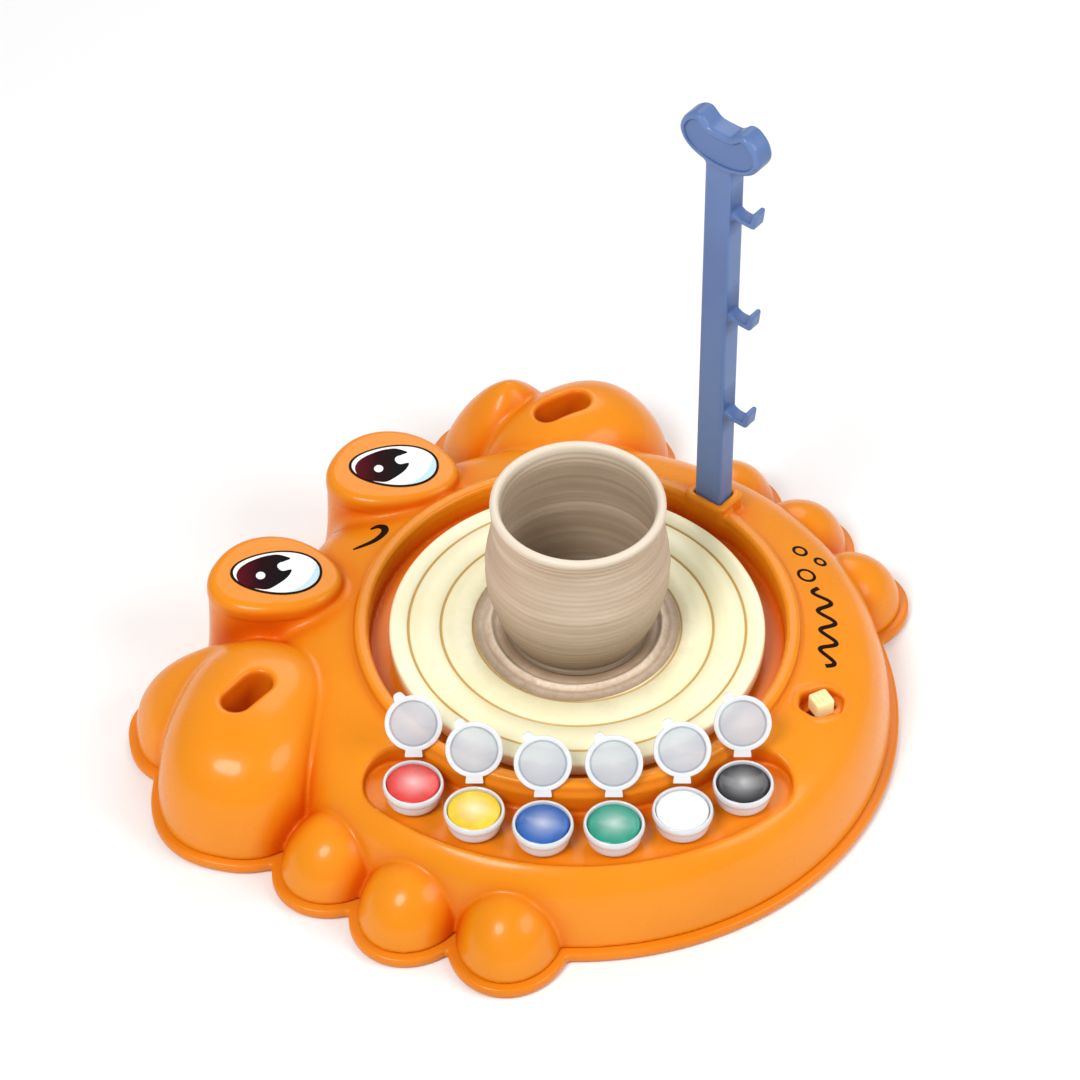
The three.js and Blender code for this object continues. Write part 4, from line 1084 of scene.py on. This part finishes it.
# The eye's printed shapes, about the print's middle; the iris has a bite and a horn at its right.
IRIS = [
    (-17.0, -1.7), (-15.6, 2.4), (-12.1, 5.7), (-6.2, 8.9), (-0.3, 10.2), (5.6, 7.6), (1.9, 6.1),
    (-0.9, 3.2), (1.4, 0.2), (6.2, 2.2), (4.1, -3.0), (-0.3, -7.3), (-3.7, -10.0), (-10.1, -8.9),
    (-15.3, -6.5),
]
IRIS_MAROON, IRIS_BLACK = -16, 4


def eye_prints():
    for name, (x, y) in EYES.items():
        iris = iris_material(x + IRIS_MAROON, x + IRIS_BLACK)
        centre = (x + EYE_PRINT["shift"], y)
        low = EYE["top"] - 0.2
        outline = egg(EYE_PRINT["along"], EYE_PRINT["across"], 0.04, 60)
        white = egg(EYE_PRINT["along"] - 1.1, EYE_PRINT["across"] - 1.0, 0.04, 60)
        angles = np.radians(np.arange(-75, 31, 5))
        swell = 1 + 0.04 * np.cos(3 * (angles - math.radians(60)))
        outer = np.stack([(EYE_PRINT["along"] - 1.2) * swell * np.cos(angles),
                          (EYE_PRINT["across"] - 1.1) * swell * np.sin(angles)], axis=1)
        swing = np.sin(np.linspace(0.05, 3.09, len(outer)))
        inner = outer[::-1] - np.stack([2.6 * swing, -1.6 * swing], axis=1)
        shade = np.concatenate([outer, inner])
        spot = egg(1.9, 2.1, 0.0, 0, 28) + (-6.9, -2.0)
        glint = egg(2.6, 2.3, 0.0, 0, 28) + (2.2, 3.4)
        layers = [
            ("outline", outline, 0.30, MATERIALS["ink"], "ink", [f"eye_print_{name}"]),
            ("white", white, 0.38, MATERIALS["eye"], "eye", []),
            ("shade", shade, 0.43, MATERIALS["eye_shade"], "eye", []),
            ("iris", np.array(soften(IRIS, 2.4, 3, closed=True)), 0.48, iris, "ink", []),
            ("spot", spot, 0.55, MATERIALS["eye"], "eye", []),
            ("glint", glint, 0.55, MATERIALS["eye"], "eye", []),
        ]
        for layer, shape, rise, material, slot, replaced in layers:
            if np.cross(shape - shape.mean(0), np.roll(shape, -1, 0) - shape.mean(0)).sum() < 0:
                shape = shape[::-1]
            plan = shape + centre
            make_object(f"eye_{name}_{layer}", *slab(plan, low, EYE["top"] + rise, 0.06, 1), material,
                        "housing", slot, replaced, sharp=30)


# ---- Turntable, slip and pot --------------------------------------------


def turntable():
    low, high = span("turntable")
    top = high[2]
    under = top - 3
    profile = [(9, low[2]), (9, under), (72.5, under), (72.5, top - 6)]
    outer = [(TABLE_RADIUS - 0.4, top - 6), (TABLE_RADIUS, top - 5.6), (TABLE_RADIUS, top - 1.2)]
    for step in range(1, 6):
        t = step / 5 * math.pi / 2
        outer.append((TABLE_RADIUS - 1.2 + 1.2 * math.cos(t), top - 1.2 + 1.2 * math.sin(t)))
    for groove in reversed(GROOVES):
        for share in np.linspace(-1, 1, 9):
            outer.append((groove - share * 0.85, top - 0.75 * math.cos(share * math.pi / 2) ** 1.5))
    profile = [(0, low[2])] + profile + outer + [(30, top), (0, top)]
    make_object("turntable_disc", *revolve(profile, 220), MATERIALS["turntable"], "turntable",
                "turntable", ["turntable"], sharp=50)


def slip_pool():
    """Wet slip round the pot's foot, thickest in a rolled ring and feathering out to nothing."""
    profile = [(0, TABLE_TOP + 0.05), (SLIP["edge"], TABLE_TOP + 0.05)]
    for radius in np.linspace(SLIP["outer"], SLIP["inner"], 40):
        edge = min(1.0, (SLIP["outer"] - radius) / 2.0)
        roll = 1.5 * math.exp(-((radius - SLIP["roll"]) / 1.3) ** 2)
        ripple = 0.35 * math.exp(-((radius - SLIP["ripple"]) / 0.9) ** 2)
        profile.append((radius, TABLE_TOP + 0.07 + edge * (0.25 + (roll + ripple))))
    profile.append((0, TABLE_TOP + 0.25))
    phases = rng.uniform(0, 2 * math.pi, 6)

    def wander(angles, radius, height):
        drift = sum(np.sin(angles * k + phases[k]) / k for k in range(1, 6))
        return drift * 0.55 * np.clip((radius - 22) / 16, 0, 1)

    make_object("slip_pool", *revolve(profile, 200, warp=wander), MATERIALS["slip"], "turntable",
                "clay")


def clay_pot():
    low, high = span("clay_pot")
    base, height = low[2], high[2] - low[2]
    outer = spline([(27.6, 0.0), (28.7, 0.012), (28.5, 0.03), (28.0, 0.05), (30.2, 0.11), (33.2, 0.23),
                    (35.5, 0.36), (36.4, 0.49), (35.9, 0.61), (34.6, 0.73), (33.5, 0.86),
                    (34.1, 0.93), (34.5, 0.965)], 12)
    lip = [(34.4, 0.984), (33.8, 0.9945), (32.8, 1.0), (31.8, 0.995), (31.1, 0.982)]
    inner = spline([(30.6, 0.96), (29.9, 0.88), (31.0, 0.74), (32.3, 0.60), (32.6, 0.49),
                    (31.6, 0.36), (28.8, 0.22), (25.5, 0.14), (21, 0.10)], 8)
    profile = [(0, 0.0)] + [tuple(p) for p in outer] + lip + [tuple(p) for p in inner] + [(0, 0.095)]
    profile = [(radius, base + share * height) for radius, share in profile]
    levels = rng.uniform(0.06, 0.93, 26)
    depths = rng.uniform(-0.26, 0.14, 26)
    widths = rng.uniform(0.35, 1.1, 26)
    phases = rng.uniform(0, 2 * math.pi, 26)

    def throwing(angles, radius, z):
        share = (z - base) / height
        if radius < 20 or share < 0.01 or share > 0.97:
            return np.zeros(len(angles))
        out = 0.14 * np.sin(z * 2.6 + angles) + 0.16 * np.sin(2 * angles + 0.6)
        for level, depth, width, phase in zip(levels, depths, widths, phases):
            middle_z = base + level * height + 0.8 * np.sin(angles + phase)
            out = out + depth * np.exp(-((z - middle_z) / width) ** 2)
        return out * min(1, (share - 0.005) * 30) * min(1, (0.975 - share) * 30)

    make_object("thrown_pot", *revolve(profile, 220, warp=throwing), MATERIALS["clay"], "clay_pot",
                "clay", ["clay_pot"])


# ---- Paint cups ---------------------------------------------------------


def cup_piece(name):
    low, high = span(f"paint_cup_{name}")
    centre = ((low[0] + high[0]) / 2, (low[1] + high[1]) / 2)
    radius, base, top = (high[1] - low[1]) / 2, low[2], high[2]
    section = [
        (9.0, base), (10.6, base + 2.2), (radius - 0.8, base + 6.2), (radius - 0.15, top - 2.6),
        (radius, top - 1.2), (radius - 0.4, top), (radius - 1.3, top), (radius - 1.5, top - 1.6),
        (radius - 2.2, top - 4), (8.6, base + 2.2),
    ]
    profile = [(0, base)] + [tuple(p) for p in soften(section, 0.9, 4)] + [(0, base + 1.6)]
    make_object(f"cup_{name}", *revolve(profile, 72, centre), MATERIALS["cup"], f"cup_{name}", "cup",
                [f"paint_cup_{name}"])
    return centre, radius, top


def paint_piece(name, centre, radius, top):
    edge = radius - 1.75
    profile = [(0, top - 6), (8.0, top - 6), (edge - 0.4, top - 3.4), (edge, top - 1.0)]
    for step in range(1, 15):
        share = step / 14
        r = edge * (1 - share)
        meniscus = 0.35 * math.exp(-((edge - r) / 0.7) ** 2)
        dome = math.sin(share * math.pi / 2) ** 0.8
        profile.append((r if step < 14 else 0, top - 1.05 + dome + meniscus))
    fill = make_object(f"paint_fill_{name}", *revolve(profile, 72, centre),
                       MATERIALS[f"paint_{name}"], f"cup_{name}", f"paint_{name}", [f"paint_{name}"])
    # The share towards the middle sets where the paint's painted highlight is strongest.
    points = points_of(fill)
    from_middle = np.hypot(points[:, 0] - centre[0], points[:, 1] - centre[1]) / edge
    store(fill, "middle", np.clip(1 - from_middle, 0, 1))


def lid_parts():
    """The closed lid about its cup's middle, at height 0: rim with tab and strap, and panel."""
    radius, thickness, rim = 11.3, 1.4, 1.9
    section = soften([(radius - rim, 0.15), (radius - 0.3, 0), (radius, 0.5), (radius, thickness - 0.3),
                      (radius - 0.5, thickness), (radius - rim + 0.3, thickness),
                      (radius - rim, thickness - 0.35)], 0.3, 3, closed=True)
    ring = closed_revolve([tuple(p) for p in section], 72)
    inner = radius - rim + 0.25
    panel_profile = [(0, 0.62), (LID_LINE - 0.5, 0.62), (LID_LINE, 0.74), (LID_LINE + 0.5, 0.62),
                     (inner, 0.62), (inner, 0.98), (LID_LINE + 0.5, 0.98), (LID_LINE, 0.86),
                     (LID_LINE - 0.5, 0.98), (0, 0.98)]
    panel = revolve(panel_profile, 72)
    tab_plan = soften([(-2.6, -10.4), (-1.9, -13.0), (-1.1, -13.9), (1.1, -13.9), (1.9, -13.0),
                       (2.6, -10.4)], 0.7, 3, closed=True)
    tab = slab(turned(tab_plan, -28), 0.1, thickness - 0.1, 0.35)
    strap_plan = soften([(-3.1, 10.2), (3.1, 10.2), (3.3, 11.6), (3.5, 13.4), (-3.5, 13.4),
                         (-3.3, 11.6)], 0.4, 2, closed=True)
    strap = slab(strap_plan, 0.05, 0.85, 0.25)
    return {"ring": merge(ring, tab, strap), "panel": panel}


def lid_piece(name, centre):
    """Both lid pieces turned about the hinge to where the lid stands open."""
    joint = next(j for j in frame["joints"] if j["name"] == f"lid_hinge_{name}")
    hinge = np.array(joint["pos_m"]) / MM
    angle = -math.radians(joint["range_deg"][1])
    c, s = math.cos(angle), math.sin(angle)
    for part, (vertices, faces) in lid_parts().items():
        points = np.array(vertices, float) + (centre[0], centre[1], hinge[2])
        local = points - hinge
        y = local[:, 1] * c - local[:, 2] * s
        z = local[:, 1] * s + local[:, 2] * c
        placed = np.column_stack([local[:, 0], y, z]) + hinge
        material = MATERIALS["lid" if part == "ring" else "lid_panel"]
        replaced = [f"paint_lid_{name}"] if part == "ring" else []
        piece = make_object(f"lid_{part}_{name}", placed, faces, material, f"lid_{name}", "lid",
                            replaced, sharp=40)
        if part == "panel":
            from_middle = np.hypot(points[:, 0] - centre[0], points[:, 1] - centre[1])
            store(piece, "line", np.clip(1.3 - np.abs(from_middle - LID_LINE) / 0.5, 0, 1))


def paint_cups():
    for name in PAINTS:
        centre, radius, top = cup_piece(name)
        paint_piece(name, centre, radius, top)
        lid_piece(name, centre)


# ---- Tool post and switch knob ------------------------------------------


def head_outline():
    mirrored = [(-x, z) for x, z in reversed(HEAD_HALF[1:-1])]
    return spline([(x, HEAD["middle"] + z) for x, z in HEAD_HALF + mirrored], 6, closed=True)


def hook_outline(z):
    side = POST["width"] / 2 - 1
    reach, rise, painted_highlight = HOOK["reach"], HOOK["rise"], HOOK["thickness"]
    out = side + 1 + reach
    corners = [(side, z), (out - 1, z), (out, z + 1), (out + 0.8, z + rise), (out - 1.2, z + rise),
               (out - painted_highlight, z + painted_highlight), (side + 4, z + painted_highlight), (side, z + painted_highlight + 2)]
    return soften(corners, 1.1, 3, closed=True)


def tool_post():
    head = Table(head_outline(), (-26, HEAD["middle"] - 17), (26, HEAD["middle"] + 17), 0.4)
    hooks = []
    for i in range(3):
        z = HOOK["first"] + i * HOOK["step"]
        hooks.append((z, Table(hook_outline(z), (0, z - 6), (26, z + 16), 0.3)))

    def field(p):
        """p is along the ring, outwards and up."""
        u, v, z = p[:, 0], p[:, 1], p[:, 2]
        d = prism_distance(box_plan(u, v, POST["width"], POST["depth"], 0.9), z, POST["bottom"],
                           POST["top"], 0.8)
        block = prism_distance(head(u, z), v, -HEAD["depth"] / 2, HEAD["depth"] / 2, 1.9)
        d = smooth_min(d, block, 1.5)
        panel = prism_distance(head(u, z) + HEAD["rim"], v, -HEAD["depth"],
                               -HEAD["depth"] / 2 + HEAD["recess"], 0.4)
        d = smooth_max(d, -panel, 0.6)
        for z_hook, plan in hooks:
            near = np.abs(z - z_hook - 4) < 12
            hook = prism_distance(plan(u, z), v, -HOOK["width"] / 2, HOOK["width"] / 2, 0.7)
            d = np.where(near, smooth_min(d, hook, 1.2), d)
        return d

    step = 0.7
    vertices, faces = surface_net(field, (-21, -7, POST["bottom"] - 2), (22, 7, HEAD["middle"] + 14),
                                  step)
    cx, cy = polar(POST["radius"], POST["angle"])
    plan = turned(vertices[:, :2], POST["angle"] - 90, (cx, cy))
    placed = np.column_stack([plan, vertices[:, 2]])
    piece = make_object("hook_post", placed, faces, MATERIALS["post"], "tool_post", "post",
                        ["tool_post"])
    store(piece, "crease", crease_of(field, vertices))


def switch_knob():
    high = span("switch_knob")[1]
    low = SWITCH["floor"] + 0.3
    corners = soften([(-4, -4), (4, -4), (4, 4), (-4, 4)], 1.3, 4, closed=True)
    body = slab(turned(corners, SWITCH["turn"], (SWITCH["x"], SWITCH["y"])), low, high[2] - 0.5, 0.9, 4)
    ridges = []
    for offset in (-2, 0, 2):
        bar = soften([(offset - 0.45, -3), (offset + 0.45, -3), (offset + 0.45, 3), (offset - 0.45, 3)],
                     0.4, 3, closed=True)
        plan = turned(bar, SWITCH["turn"], (SWITCH["x"], SWITCH["y"]))
        ridges.append(slab(plan, high[2] - 0.9, high[2] - 0.05, 0.35))
    stem = slab(turned([(-2, -1.6), (2, -1.6), (2, 1.6), (-2, 1.6)], SWITCH["turn"],
                       (SWITCH["x"], SWITCH["y"])), 35.8, low + 0.5, 0.1, 1)
    make_object("slide_knob", *merge(body, stem, *ridges), MATERIALS["knob"], "switch_knob", "knob",
                ["switch_knob"], sharp=35)


# ---- Studio -------------------------------------------------------------


FLOOR_HALF = 6000
WORLD_LIGHT = 0.38
LIGHT_AIM = (0, 0, 0.04)
LIGHTS = [  # name, place and size in metres, and power in watts
    ("key_light", (-0.55, -0.75, 1.25), 0.6, 13.5),
    ("fill_light", (0.95, -0.35, 0.9), 0.8, 7),
    ("back_light", (0.15, 1.1, 1.0), 0.9, 5.5),
]


def make_studio():
    corners = [(i * FLOOR_HALF, j * FLOOR_HALF, 0) for i, j in ((-1, -1), (1, -1), (1, 1), (-1, 1))]
    floor_mesh = make_mesh("studio_floor", corners, [(0, 1, 2, 3)])
    floor = bpy.data.objects.new("studio_floor", floor_mesh)
    bpy.context.scene.collection.objects.link(floor)
    shade = Shader("studio_floor", (0.95, 0.95, 0.95), 0.9)
    floor_mesh.materials.append(shade.material)
    world = bpy.data.worlds.new("studio")
    world.use_nodes = True
    background = world.node_tree.nodes["Background"]
    background.inputs["Color"].default_value = (1, 1, 1, 1)
    background.inputs["Strength"].default_value = WORLD_LIGHT
    bpy.context.scene.world = world
    bpy.context.scene.view_settings.view_transform = "Standard"
    for name, place, size, power in LIGHTS:
        area_light(name, place, size, power)


def area_light(name, place, size, power):
    data = bpy.data.lights.new(name, "AREA")
    data.shape = "DISK"
    data.size = size
    data.energy = power
    light = bpy.data.objects.new(name, data)
    light.location = place
    aim = Vector(LIGHT_AIM) - Vector(place)
    light.rotation_euler = aim.to_track_quat("-Z", "Y").to_euler()
    bpy.context.scene.collection.objects.link(light)


dress_cad_nodes()
upper_shell()
lower_shell()
side_prints()
smile()
eye_prints()
turntable()
slip_pool()
clay_pot()
paint_cups()
tool_post()
switch_knob()
make_studio()
